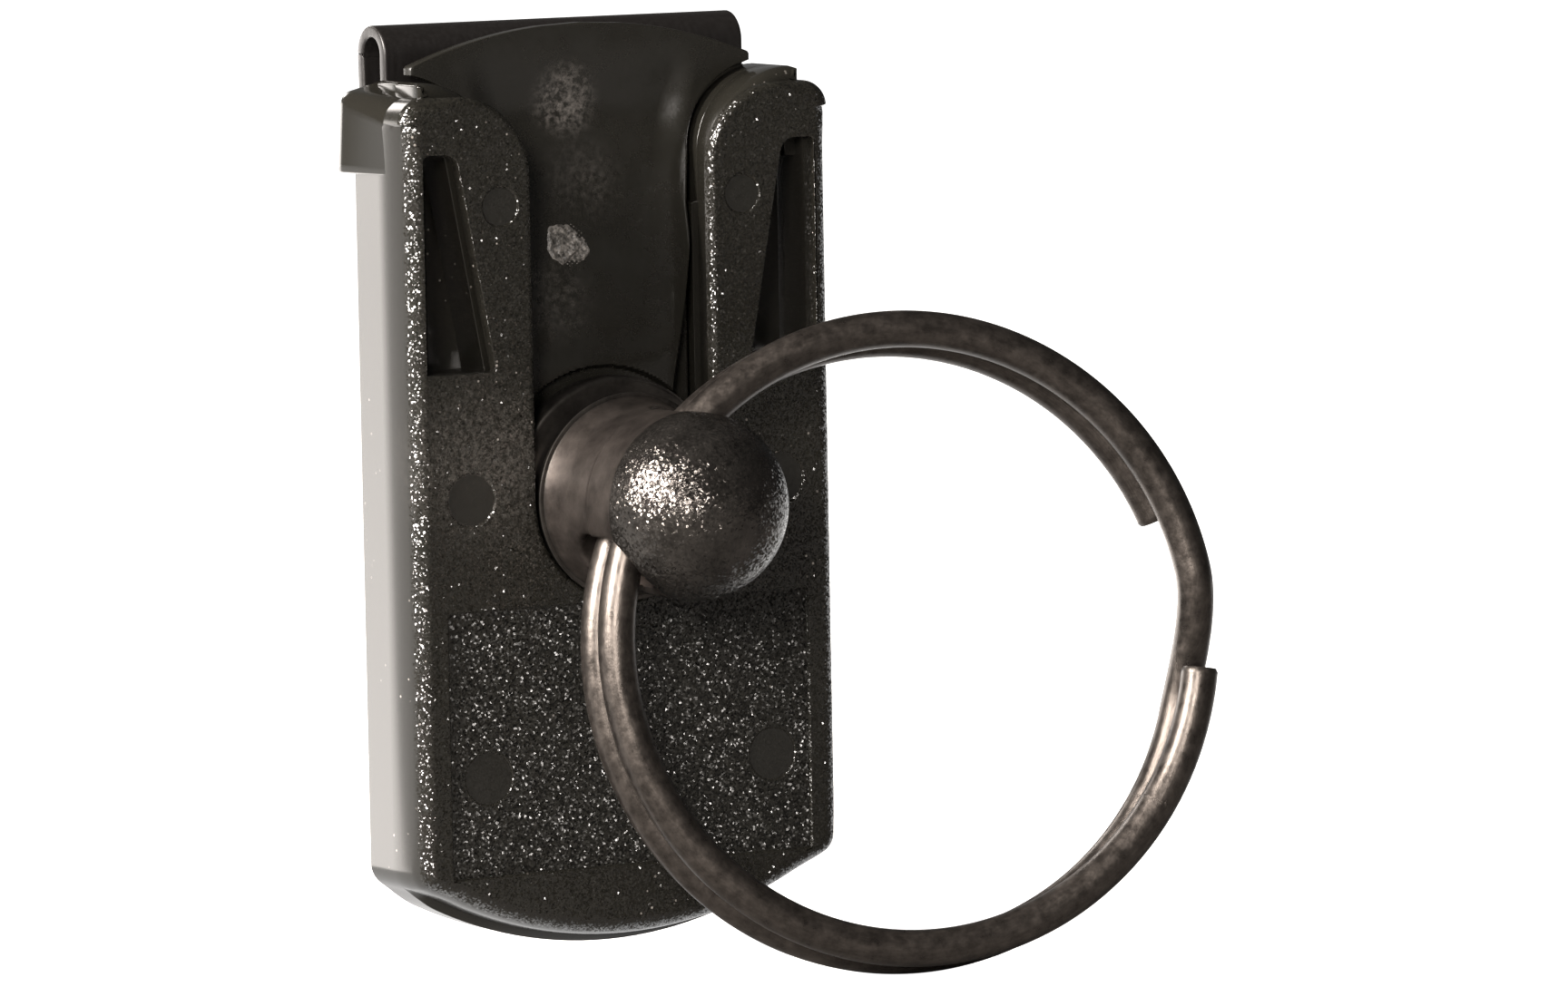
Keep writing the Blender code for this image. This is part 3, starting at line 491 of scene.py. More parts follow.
def rim(shell, loop, stations, flip=False):
    """Sweeps a profile round a loop, and gives the first and the last outline.

    Each station is (inset, depth), numbers or one value for each point of the loop.
    """
    normal = inward(loop)
    rows = []
    for inset, depth in stations:
        flat = loop + normal * np.broadcast_to(inset, len(loop))[:, None]
        rows.append(np.stack([flat[:, 0], FACE + np.broadcast_to(depth, len(loop)), flat[:, 1]], 1))
    shell.grid(np.array(rows), wrap=True, flip=flip)
    return rows[0][:, [0, 2]], rows[-1][:, [0, 2]]


def quarter(radius, depth, count):
    """Stations of a rounded edge, over a quarter circle from the flat face to the side."""
    turn = np.linspace(0, 1, count + 1) * math.pi / 2
    return [(radius * (1 - math.sin(t)), depth + radius * (1 - math.cos(t))) for t in turn]


def fallen(near, radius):
    """How far a rounded edge has fallen, a quarter circle over the distance from the edge, 0 beyond its radius."""
    return radius - np.sqrt(np.clip(radius ** 2 - (radius - np.clip(near, 0, radius)) ** 2, 0, None))


def blend(value, low, high):
    """Smooth step from 0 at low to 1 at high."""
    share = np.clip((value - low) / (high - low), 0, 1)
    return share * share * (3 - 2 * share)


def foot_arc(inset):
    """Right half of the foot's arc, from the middle to the side, drawn in by an inset."""
    radius = FOOT_RADIUS - inset
    end = math.degrees(-math.acos((HALF - inset) / radius))
    return arc((0, BODY_LOW[2] + FOOT_RADIUS), radius, -90, end, 2.0)


def sharp(points):
    """Corners without a radius."""
    return [(x, z, 0.0) for x, z in points]


def front_outline():
    """The front plate's outline, seen from the front: foot, side, arm, shoulder and slot."""
    foot = foot_arc(0)
    seat = arc((0, 0), SLOT_HALF, 0, -90, 3.0)
    corners = sharp(foot[:-1]) + [(*foot[-1], CORNER), (HALF, TOP, CORNER), (SLOT_HALF, TOP, SHOULDER)]
    return mirrored(rounded(corners + sharp(seat), 5.0))


def circle(centre, radius):
    """A loop round a point, clockwise, so that its left is outside."""
    angles = -np.linspace(0, 2 * math.pi, 40, endpoint=False)
    return np.stack([centre[0] + radius * np.cos(angles), centre[1] + radius * np.sin(angles)], 1)


def window(side):
    """A tapered window's loop, clockwise seen from the front; side is 1 or -1."""
    corners = [(WINDOW_SIDE, WINDOW_FOOT, 0.12), (WINDOW_INNER - WINDOW_TAPER, WINDOW_FOOT, 0.12),
               (WINDOW_INNER, WINDOW_TOP, 1.0), (WINDOW_SIDE, WINDOW_TOP, 0.35)]
    loop = rounded(corners, 12.0)
    return loop if side > 0 else loop[::-1] * (-1, 1)


def panel_outline():
    """The grained panel's loop, clockwise, with its top cut out round the slot's seat."""
    notch = SLOT_HALF + PANEL_GAP
    start = math.degrees(math.asin(PANEL_TOP / notch))
    right = [(PANEL_HALF, PANEL_FOOT, 0.25), (PANEL_HALF, PANEL_TOP, 0.25)]
    left = [(-x, z, turn) for x, z, turn in right[::-1]]
    corners = right + sharp(arc((0, 0), notch, start, -180 - start, 4.0)) + left
    return even(rounded(corners, 15.0), 0.6)[::-1]


def wall_stations(loop, lip):
    """Stations of the front moulding's rim and walls, with one value for each point of its outline.

    Side and foot walls run back to the full depth, draw out, and end in the foot's flange; along the slot the
    plate ends in a thin lip. The rim is an ellipse of an inset radius and a fall that ease along the outline.
    """
    x, z = np.abs(loop[:, 0]), loop[:, 1]
    side = (x > HALF - 1e-3) & (z > -22.5)
    wall = side | (z < -15)
    corner = (z > TOP - 1.7) & (x > HALF - 4.2)
    in_slot = ~wall & ~corner
    above = blend(z, TOP - 4.6, TOP - 1.7)
    at_corner = 0.4 + 0.5 * blend(x, HALF - 4.2, HALF - 1.4)
    radius = np.select([corner, in_slot], [at_corner, SLOT_EDGE], EDGE - 0.1 * above)
    fall = EDGE + 0.2 - 0.3 * above + 0.5 * blend(z, -19.0, -23.5)
    fall = np.select([corner, in_slot], [at_corner, SLOT_EDGE], fall)
    outer_corner = corner & (x > 12.5)
    deep = np.select([outer_corner, wall], [2.6, WALL_DEPTH], lip)
    thick = np.select([wall, outer_corner], [1.3, 0.5], 0.1)
    turns = np.linspace(0, 1, 15) * math.pi / 2
    stations = [(radius + 0.06, 0.0)]
    stations += [(radius * (1 - math.sin(t)), fall * (1 - math.cos(t))) for t in turns]
    stations += [(0.0, np.where(wall, np.maximum(fall, reach), deep - 0.06)) for reach in WALL_REACHES]
    stations += [(0.0, deep - 0.06), (0.06, deep), (thick - 0.03, deep), (thick, deep - 0.03), (thick, lip)]
    draft = np.where(wall, DRAFT, 0.0)
    at_foot = blend(-z, 22.6, 24.0)
    shaped = []
    for inset, depth in stations:
        depth = np.minimum(np.maximum(0, depth), deep)
        drawn = inset + draft * (np.clip(DRAFT_DEPTH - depth, 0, None) / DRAFT_DEPTH) ** 2
        shaped.append((drawn + at_foot * np.interp(depth, FLANGE_DEPTHS, FLANGE_INSETS), depth))
    return shaped


def sunk(shell, loop, depth, sink, radius):
    """A step down from a face to a sunken floor inside a clockwise loop, rounded where there is room.

    Gives the loop to leave open in the face, and the counter-clockwise border of the floor.
    """
    if sink > 2 * radius:
        edge = quarter(radius, depth, 3)
        middle = edge + [(-inset, depth + sink - (below - depth)) for inset, below in edge[::-1]]
    else:
        middle = [(radius, depth), (0, depth + sink * 0.5), (-radius, depth + sink)]
    stations = [(radius + 0.05, depth)] + middle + [(-radius - 0.05, depth + sink)]
    top, border = rim(shell, loop, stations, flip=True)
    return top, border[::-1]


def ejector_mark(shell, centre, size, depth, sink):
    """The sunken round print of an ejector pin. Gives the loop to leave open in the face."""
    top, floor = sunk(shell, circle(centre, size / 2), depth, sink, sink / 2)
    shell.fill([floor], depth + sink, slot=PIN_MARK)
    return top


class KEYCOUPLER_OT_front_housing(bpy.types.Operator):
    """Makes the front moulding: plate, slot, lips, walls, windows, grained panel and ejector marks"""

    bl_idname = "keycoupler.front_housing"
    bl_label = "Front housing"

    def execute(self, context):
        sizes = context.scene.coupler_sizes
        colour = context.scene.coupler_colours.housing
        lip, sink = sizes.lip / MM, sizes.panel_sink / MM
        shell = Shell()
        loop = even(front_outline(), 0.35)
        border, inner = rim(shell, loop, wall_stations(loop, lip))
        front_holes, rear_holes = [], []
        for s in (-1, 1):
            edge = [(0.09, 0.0)] + quarter(0.04, 0.0, 3) + [(0.0, lip)]
            top_loop, rear_loop = rim(shell, even(window(s), 0.5), edge, flip=True)
            front_holes.append(top_loop)
            rear_holes.append(rear_loop)
            front_holes += [ejector_mark(shell, (s * x, z), size, 0.0, MARK_SINK) for x, z, size in MARKS]
        open_top, floor = sunk(shell, panel_outline(), 0.0, sink, 0.05)
        front_holes.append(open_top)
        x, z, size = PANEL_MARK
        panel_holes = [ejector_mark(shell, (s * x, z), size, sink, PANEL_MARK_SINK) for s in (-1, 1)]
        shell.fill([floor] + panel_holes, sink, slot=GRAINED)
        shell.fill([border] + front_holes, 0.0)
        shell.fill([inner] + rear_holes, lip, towards_back=True)
        # A painted sheen left of the slot: the colour is lightened where a broad soft reflection lies
        rubbed_and_sheen = ((-9.6, FACE, 2.5, 6.5, 0.10),)
        materials = [
            spark_eroded_abs("spark_eroded_abs", colour, 0.00010, 0.000010, 0.16, 0.5, 0.46, rubbed_and_sheen),
            spark_eroded_abs("coarse_grained_abs", colour, sizes.grain, 0.00002, 0.33, 0.3, 1.1),
            spark_eroded_abs("ejector_pin_mark_abs", colour, 0.00012, 0.000008, 0.34, 0.1, 0.1),
        ]
        thing = shell.object("front_housing_moulding", materials)
        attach(thing, "body")
        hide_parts("front_housing")
        return {"FINISHED"}


def slab(shell, loop, front, rear, radius, rear_radius):
    """A closed slab inside a counter-clockwise loop, with a rounded rim in front and another behind."""
    stations = [(radius + 0.05, front)] + quarter(radius, front, 6)
    stations += [(inset, rear - (depth - front)) for inset, depth in quarter(rear_radius, front, 3)[::-1]]
    stations += [(rear_radius + 0.05, rear)]
    border, behind = rim(shell, loop, stations)
    shell.fill([border], front)
    shell.fill([behind], rear, towards_back=True)


def turned(shell, profile, centre, count):
    """Turns (radius, y) points about an axis along Y through a centre (x, z), from front to back."""
    profile = np.array(profile, float)
    angles = np.linspace(0, 2 * math.pi, count, endpoint=False)
    x = centre[0] + profile[:, :1] * np.cos(angles)
    z = centre[1] + profile[:, :1] * np.sin(angles)
    y = np.broadcast_to(profile[:, 1:], x.shape)
    shell.grid(np.stack([x, y, z], -1), wrap=True)


def ear(shell, s, front, rear):
    """A lug on the body's side that swells out of it towards the back.

    Each depth has one outline: foot, outer side, a rounded top corner and a top that slopes up to the lobe.
    The outline grows from the side wall's own to the full one, and its rim is rounded at the back.
    """
    rim_round, foot_round, inner_x, foot_z, side_x, top_z = 0.35, 0.12, 12.3, 19.62, 14.38, 24.08
    depths = np.concatenate([np.linspace(front, rear - rim_round, 26),
                             rear - rim_round + rim_round * np.sin(np.linspace(0, 1, 6)[1:] * math.pi / 2)])
    rows = []
    for depth in depths:
        grown = np.clip((depth - front) / (rear - front - 0.6), 0, 1)
        tuck = rim_round - math.sqrt(max(0.0, rim_round ** 2 - max(0.0, depth - rear + rim_round) ** 2))
        outer = side_x + 0.8 * grown - tuck
        corner_z = top_z + 0.22 * grown - tuck
        inner_z = top_z + 0.86 * grown - tuck
        turn = CORNER - 0.7 * grown
        slope = math.atan2(inner_z - corner_z, outer - inner_x)
        centre = (outer - 0.2 * grown - turn, corner_z - turn * (1 - math.sin(slope)) / math.cos(slope))
        foot = foot_z + tuck
        end = 90 - math.degrees(slope)
        low = arc((outer - foot_round, foot + foot_round), foot_round, -90, 0, 30.0)
        high = arc(centre, turn, 0, end, end / 9.999)
        side = low[-1] + (high[0] - low[-1]) * np.linspace(0, 1, 11)[1:-1, None]
        roof = high[-1] + (np.array((inner_x, inner_z)) - high[-1]) * np.linspace(0, 1, 7)[1:, None]
        flat = np.concatenate([[(inner_x, foot)], low, side, high, roof])
        rows.append(np.stack([flat[:, 0] * s, np.full(len(flat), FACE + depth), flat[:, 1]], 1))
    shell.grid(np.array(rows), wrap=True, flip=s < 0)
    for row, towards_back in ((rows[0], False), (rows[-1], True)):
        shell.fill([row[:, [0, 2]]], row[0, 1] - FACE, towards_back=towards_back)


class KEYCOUPLER_OT_rear_housing(bpy.types.Operator):
    """Makes the rear moulding: lobes, groove walls, guides beside the windows, ears and heat stakes"""

    bl_idname = "keycoupler.rear_housing"
    bl_label = "Rear housing"

    def execute(self, context):
        wall, groove, step, top, bulge = 1.6, 7.36, 3.95, 25.0, 5.2
        side = HALF - wall
        foot = foot_arc(wall)
        gap_foot = TONGUE_LOW[2] - 0.3
        shell = Shell()

        def outline(notched, strip):
            """The outline, with or without the pockets' notches and the strips beside the tongue."""
            corners = sharp(foot[:-1]) + [(*foot[-1], 0.6)]
            if notched:
                corners += [(side, WINDOW_FOOT, 0.1), (8.9, WINDOW_FOOT, 0.1), (11.3, WINDOW_TOP, 0.5),
                            (side, WINDOW_TOP, 0.1)]
            lobe = arc((groove + bulge, top - bulge), bulge, 90, 180, 4.0)
            corners += [(side, top - 0.16, 0.1), (12.6, top, 0.1)] + sharp(lobe[1:])
            if strip:
                corners += [(groove, 17.0, 0), (groove - 0.4, 17.0, 0.2), (groove - 0.4, gap_foot, 0.2)]
            else:
                corners += [(groove, gap_foot, 0.2)]
            return even(mirrored(rounded(corners + [(0, gap_foot, 0)], 8.0)), 0.5)

        upper = outline(True, False)
        x, z = np.abs(upper[:, 0]), upper[:, 1]
        on_lobe = blend(z, top - 6.0, top - 3.0) * (x < 12.7)
        pocket = (z > WINDOW_FOOT - 0.25) & (z < WINDOW_TOP + 0.2) & (x > 8.4)
        slab(shell, upper, 1.1, step, np.where(pocket, 0.04, 0.3 + 0.5 * on_lobe), 0.02)
        slab(shell, outline(False, True), step, WALL_DEPTH, 0.04, 0.15)
        head = 0.32
        stake = [(1.25, -1.2), (1.3, head), (2.1, head), (2.1, head + 0.12), (1.95, head + 0.3),
                 (1.5, head + 0.42), (0.8, head + 0.48), (0, head + 0.5)]
        for s in (-1, 1):
            ear(shell, s, 1.95, WALL_DEPTH + 1.0)
            turned(shell, stake, (s * 8.0, -14.0), 40)
        colour = context.scene.coupler_colours.housing
        skin = spark_eroded_abs("moulded_abs", colour, 0.0002, 0.00001, 0.22, 0.2, 0.02, walls=0.14)
        thing = shell.object("rear_housing_moulding", [skin])
        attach(thing, "body")
        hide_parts("rear_housing")
        return {"FINISHED"}


def tongue_width(z):
    """Half width of the tongue at a height: straight, then widening along the lobe, then the pad's."""
    centre_x, centre_z, radius = 12.56, 19.8, 5.55
    narrow, wide, starts, rise = 6.61, 7.01, 17.0, 2.8
    flare = centre_x - np.sqrt(np.clip(radius ** 2 - np.clip(z - centre_z, 0, radius) ** 2, 0, None))
    width = narrow + (wide - narrow) * np.clip((z - starts) / rise, 0, 1)
    width = np.where(z > centre_z, flare, width)
    return np.minimum(width, TONGUE_HIGH[0])


def tongue_depth(x, z):
    """Depth of the tongue's front behind the body's face, from its height and distance from the middle.

    One smooth curve runs from the pad, forward and down, to the land over the ledge, a concave arc round
    the stud's disc; the seat lies deeper below the ledge. A shallow trough runs down the middle, and beside
    the land the face falls back.
    """
    land, pad, seat, beside_land = 2.9, 4.6, 3.5, 4.0
    across = np.abs(x)
    ramp = land + (pad - land) * blend(z, 9.6, 24.2)
    middle = 3.0 + 0.115 * z + 0.15 * np.clip(z - 17.0, 0, None)
    sunken = 0.20 + 0.40 * np.exp(-((z - 22.6) / 1.8) ** 2)
    trough = sunken * (1 - blend(across, middle - 1.1, middle + 0.9))
    trough = trough * blend(z, 7.6, 9.4) * (1 - blend(z, 24.0, 27.0))
    edge = np.minimum(4.9 + 1.7 * np.clip((z - 6.0) / 9.0, 0, None), 7.2)
    beside = blend(across, edge - 0.04, edge + 0.08) * (beside_land - ramp).clip(0) * (z < 20.5)
    face = ramp + trough + beside
    inside = 1 - blend(np.hypot(x, z), 7.45, 7.62)
    return face + (seat - face) * np.where(z > 0, inside, 1.0)


def torn_gate(shell, x0, z0):
    """The stub where the runner was torn off: ragged rings on a closed round patch of polar points.

    A point's height is a bell over its distance from each ring's wavy radius; the rim dips under the skin.
    """
    radii = np.linspace(0, 1.9, 30)[:, None]
    turn = np.linspace(0, 2 * math.pi, 96, endpoint=False)[None]
    x, z = x0 + radii * np.cos(turn), z0 + radii * np.sin(turn)
    height = np.zeros(x.shape)
    for cx, cz, ring, tall in ((-0.35, 0.15, 0.95, 0.10), (0.75, -0.35, 0.50, 0.09), (-0.2, -0.2, 0.45, 0.05)):
        away, angle = np.hypot(x - x0 - cx, z - z0 - cz), np.arctan2(z - z0 - cz, x - x0 - cx)
        waves = 0.10 * np.cos(3 * angle + cx) + 0.07 * np.cos(5 * angle + 1) + 0.05 * np.cos(11 * angle)
        wavy = ring * (1 + waves)
        height += tall * np.exp(-((away - wavy) / 0.12) ** 2) + 0.03 * (1 - blend(away, ring - 0.1, ring + 0.1))
    height += 0.012 * np.sin(19 * x) * np.sin(23 * z) - 0.05 * blend(np.broadcast_to(radii, x.shape), 1.2, 1.7)
    y = FACE + tongue_depth(x, z) - height + 0.005
    rows = np.concatenate([np.stack([x, y, z], -1), np.stack([x, y + 0.4, z], -1)[::-1]])
    shell.grid(rows, wrap=True)


class KEYCOUPLER_OT_thumb_tongue(bpy.types.Operator):
    """Makes the springy tongue: domed thumb pad, ramp, catch ledge and seat"""

    bl_idname = "keycoupler.thumb_tongue"
    bl_label = "Thumb tongue"

    def execute(self, context):
        low, high = TONGUE_LOW[2], TONGUE_HIGH[2]
        dome_radius, dome_rise, roll = 31.5, 3, 0.25
        shell = Shell()
        columns = np.sin(np.linspace(-1, 1, 161) * math.pi / 2) * 0.25 + np.linspace(-1, 1, 161) * 0.75
        heights = np.linspace(low, high, 290)
        dome = np.sqrt(np.clip(dome_radius ** 2 - (high - dome_radius - heights) ** 2, 0, None))
        width = tongue_width(heights)
        width = np.where(heights > high - dome_rise, np.minimum(width, dome), width)
        width = np.maximum(width, 0.02)[:, None]
        x = columns[None] * width
        z = np.broadcast_to(heights[:, None], x.shape)
        fall = fallen(np.minimum(width - np.abs(x), z - low), roll)
        face = np.stack([x, FACE + tongue_depth(x, z) + fall, z], -1)
        back = np.stack([x, TONGUE_HIGH[1] - fall * 0.6, z], -1)
        shell.grid(face, slot=1, flip=True)
        shell.grid(back, slot=1)
        for near, far in ((face[:, 0], back[:, 0]), (back[:, -1], face[:, -1]), (back[0], face[0]),
                          (face[-1], back[-1])):
            shell.grid(np.stack([near, far], 1), slot=1)
        torn_gate(shell, -1.75, 14.85)
        colour = context.scene.coupler_colours.housing
        rubbed_and_sheen = ((-1.0, FACE + 4.5, 23.4, 2.8, 0.28), (-0.2, FACE + 4.0, 18.6, 3.4, 0.06),
                  (-2.8, FACE + 3.2, 11.7, 3.4, 0.06))
        materials = [torn_abs("torn_gate_abs", colour), polished_abs("polished_abs", colour, 0.27, rubbed_and_sheen)]
        thing = shell.object("tongue_moulding", materials)
        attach(thing, "tongue")
        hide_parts("thumb_tongue")
        return {"FINISHED"}


def strip(shell, path, width_at, sheet, nose=0.15):
    """A sheet that follows a path of (y, z) points down its middle, with rounded long edges and ends.

    width_at gives the half width at a distance along the path; nose is the first end's own rounding.
    """
    roll, columns = 0.15, 61
    ahead = unit(np.gradient(path, axis=0))
    across = np.stack([-ahead[:, 1], ahead[:, 0]], 1)
    along = lengths_along(path)
    width = width_at(along, along[-1])
    shares = np.sin(np.linspace(-1, 1, columns) * math.pi / 2)
    shares = np.sign(shares) * np.abs(shares) ** 0.8
    x = shares[None] * width[:, None]
    edge = np.minimum(width[:, None] - np.abs(x), (along[-1] - along)[:, None])
    thick = np.minimum(sheet / 2 - fallen(edge, roll), (sheet / 2 - fallen(along, nose))[:, None])
    thick = np.maximum(0, thick)
    near, far = (np.stack([x, path[:, :1] + across[:, :1] * thick * sign,
                           path[:, 1:] + across[:, 1:] * thick * sign], -1) for sign in (1, -1))
    shell.grid(near)
    shell.grid(far, flip=True)
    for first, second, flip in ((near[:, 0], far[:, 0], True), (near[:, -1], far[:, -1], False),
                                (near[0], far[0], False), (near[-1], far[-1], True)):
        shell.grid(np.stack([first, second], 1), flip=flip)


class KEYCOUPLER_OT_belt_clip(bpy.types.Operator):
    """Makes the clip's two leaves: the mounting leaf with its bend, and the springy belt leaf"""

    bl_idname = "keycoupler.belt_clip"
    bl_label = "Belt clip"

    def execute(self, context):
        steel = black_oxide_steel("black_oxide_spring_steel", context.scene.coupler_colours.steel)
        sheet, bend, half = 0.7, 1.4, 12.2
        middle = -sheet / 2
        centre = LEAF_HIGH[2] - bend - sheet / 2
        straight = np.stack([np.full(110, middle), np.linspace(LEAF_LOW[2], centre, 110)], 1)[:-1]
        turn = np.linspace(math.pi, 0, 40)
        over = np.stack([middle + bend + bend * np.cos(turn), centre + bend * np.sin(turn)], 1)

        def leaf_width(along, length):
            """Straight sides, with quarter-round corners at the foot."""
            return half - fallen(along, 3.0)

        shell = Shell()
        strip(shell, np.concatenate([straight, over]), leaf_width, sheet)
        # A filler under the bend's end, with a saddle in which the belt leaf's rounded top turns
        hinge_y, hinge_z = middle + 2 * bend, BELT_HIGH[2]
        saddle = arc((hinge_y, hinge_z), 0.375, 159, 21, 8.0)
        roof = [(hinge_y + 0.35, centre + 0.2), (hinge_y - 0.35, centre + 0.2)]
        section = np.concatenate([roof, saddle])
        ends = [np.stack([np.full(len(section), x), section[:, 0], section[:, 1]], 1)
                for x in (-half + 0.08, half - 0.08)]
        hubs = [np.broadcast_to((end[0, 0], hinge_y, centre + 0.15), end.shape) for end in ends]
        shell.grid(np.array([hubs[0], ends[0], ends[1], hubs[1]]), wrap=True)
        leaf = shell.object("clip_mounting_strip", [steel])
        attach(leaf, "body")
        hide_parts("clip_mounting_leaf")
        top, foot, bow_at, bow, nose = BELT_HIGH[2], BELT_LOW[2], -13.0, 0.95, 0.35
        heights = np.concatenate([top + nose - nose * (1 - np.cos(np.linspace(0, 1, 12) * math.pi / 2)),
                                  np.linspace(top, foot, 260)[1:]])
        upper = bow * np.sin((top - np.minimum(heights, top)) / (top - bow_at) * math.pi / 2)
        lower = bow - 1.5 * ((bow_at - heights) / (bow_at - foot)) ** 2
        drawn = np.where(heights > bow_at, upper, lower)
        path = np.stack([2 * bend - sheet / 2 - drawn, heights], 1)

        def belt_width(along, length):
            """Straight at the top, then tapered to the foot, whose corners are rounded."""
            taper_from, end, corner = 22.0, 9.5, 4.5
            width = half - (half - end) * np.clip((along - taper_from) / (length - taper_from), 0, 1)
            return width - fallen(length - along, corner)

        shell = Shell()
        strip(shell, path, belt_width, sheet, nose)
        belt = shell.object("clip_belt_strip", [steel])
        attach(belt, "belt_leaf")
        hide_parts("clip_belt_leaf")
        return {"FINISHED"}


class KEYCOUPLER_OT_stud_disc(bpy.types.Operator):
    """Makes the disc that slides behind the lips"""

    bl_idname = "keycoupler.stud_disc"
    bl_label = "Stud disc"

    def execute(self, context):
        front, rear, outer = DISC_LOW[1], DISC_HIGH[1], DISC_HIGH[0]
        bore, recess, recess_depth = 2.5, 3.5, 0.8
        profile = [(bore, front), (outer - 0.3, front), (outer - 0.25, front), (outer - 0.12, front + 0.04),
                   (outer - 0.04, front + 0.12), (outer, front + 0.25), (outer, rear - 0.25),
                   (outer - 0.07, rear - 0.07), (outer - 0.25, rear), (recess, rear),
                   (recess, front + recess_depth), (bore, front + recess_depth), (bore, front)]
        shell = Shell()
        turned(shell, profile, (0, 0), 192)
        colour = context.scene.coupler_colours.stud
        thing = shell.object("stud_retaining_disc", [cast_black_zinc("blackened_disc_zinc", colour, colour, -1.0)])
        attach(thing, "disc")
        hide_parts("stud_disc")
        return {"FINISHED"}


def hole_loop():
    """The cross hole's rounded oblong outline, in (along the stud, across it)."""
    corners = [(y * HOLE_REACH, across * HOLE_ACROSS, HOLE_ROUND)
               for y, across in ((-1, -1), (1, -1), (1, 1), (-1, 1))]
    return even(rounded(corners, 5.0), 0.4)


def hole_distance(points):
    """Distance in the hole's own plane from its outline, positive outside: that of a rounded rectangle."""
    local = points - HOLE_CENTRE
    dy = np.abs(local @ BACK) - (HOLE_REACH - HOLE_ROUND)
    da = np.abs(local @ HOLE_SIDE) - (HOLE_ACROSS - HOLE_ROUND)
    outside = np.hypot(np.clip(dy, 0, None), np.clip(da, 0, None))
    return outside + np.minimum(np.maximum(dy, da), 0) - HOLE_ROUND


class KEYCOUPLER_OT_ball_stud(bpy.types.Operator):
    """Makes the cast stud: ball, neck, collar, stem and the cross hole for the ring"""

    bl_idname = "keycoupler.ball_stud"
    bl_label = "Ball stud"

    def execute(self, context):
        colours = context.scene.coupler_colours
        cap = [(max(0.0, BALL * math.cos(t)), -(BALL_REACH + BALL * math.sin(t)))
               for t in np.linspace(math.pi / 2, 0, 90)]
        neck = [(BALL, -r) for r in np.linspace(BALL_REACH, 4.95, 40)[1:]]
        groove = [(BALL - 0.04, -4.9), (BALL - 0.07, -4.84)]
        shank = [(BALL - 0.07 + 0.42 * max(0.0, 1 - (r - 0.45) / 2.4) ** 2, -r)
                 for r in np.linspace(4.75, 0.45, 56)]
        tail = [(6.15, -0.45), (6.2, -0.42), (6.2, -0.33), (6.17, -0.3), (5.7, -0.3), (5.7, 0.75), (2.2, 0.75),
                (2.2, 2.15), (3.2, 2.15), (3.2, 2.6), (3.1, 2.65), (0, 2.65)]
        profile = [(r, FACE + y) for r, y in cap + neck + groove + shank + tail]
        shell = Shell()
        turned(shell, profile, (0, 0), 220)
        # The hole's mouths are rounded: points near its outline are drawn in along it
        points = shell.points[0]
        along = (points - HOLE_CENTRE) @ HOLE_ALONG
        on_side = (points[:, 1] < FACE - 0.9) & (np.abs(along) > 2.0)
        move = np.where(on_side, fallen(hole_distance(points), 0.55), 0)
        shell.points[0] = points - np.sign(along)[:, None] * HOLE_ALONG * move[:, None]
        metal = cast_black_zinc("blackened_cast_zinc", colours.stud, colours.neck, (FACE - BALL_REACH) * MM,
                                (FACE - COLLAR_DEPTH) * MM)
        thing = shell.object("ball_stud_casting", [metal], angle=40)
        loop = hole_loop()
        ends = [HOLE_CENTRE + HOLE_ALONG * end + loop[:, :1] * BACK + loop[:, 1:] * HOLE_SIDE for end in (-9.0, 9.0)]
        cutter = Shell()
        cutter.grid(np.array(ends), wrap=True)
        for ring in ends:
            cutter.grid(np.array([ring, np.broadcast_to(ring.mean(0), ring.shape)]), wrap=True)
        bore = cutter.object("cross_hole_bore", [metal])
        work = bmesh.new()
        work.from_mesh(bore.data)
        bmesh.ops.recalc_face_normals(work, faces=work.faces)
        work.to_mesh(bore.data)
        work.free()
        cut = thing.modifiers.new("cross hole", "BOOLEAN")
        cut.operation = "DIFFERENCE"
        cut.solver = "EXACT"
        cut.object = bore
        bpy.context.view_layer.update()
        mesh = bpy.data.meshes.new_from_object(thing.evaluated_get(bpy.context.evaluated_depsgraph_get()))
        thing.modifiers.clear()
        thing.data = mesh
        bpy.data.objects.remove(bore)
        mesh.shade_smooth()
        mesh.set_sharp_from_angle(angle=40 * DEG)
        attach(thing, "stud")
        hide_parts("ball_stud")
        return {"FINISHED"}


def wire_path(wire, ring, lift):
    """Middle of the ring's wire, and the ring's normal: two turns side by side that cross over smoothly."""
    radius = (ring - wire) / 2 + 0.4
    inward_axis = -HOLE_SIDE * math.cos(lift) - BACK * math.sin(lift)
    normal = HOLE_SIDE * math.sin(lift) - BACK * math.cos(lift)
    centre = HOLE_CENTRE + inward_axis * (radius - 1.0)
    crossing = 26.0 * DEG
    turned_by = np.linspace(0, 4 * math.pi - 30.0 * DEG, 1100)
    share = np.clip((turned_by - (2 * math.pi - 0.74 * crossing)) / crossing, 0, 1)
    side = 0.5 - (3 * share ** 2 - 2 * share ** 3)
    angle = 24.7 * DEG - turned_by
    flat = inward_axis * np.cos(angle)[:, None] + HOLE_ALONG * np.sin(angle)[:, None]
    gap = 0.08 + 0.37 * (1 - np.cos(turned_by + 10 * DEG)) / 2
    offset = normal * (wire + gap)[:, None] + HOLE_ALONG * 0.5
    return centre + flat * radius + offset * side[:, None], normal


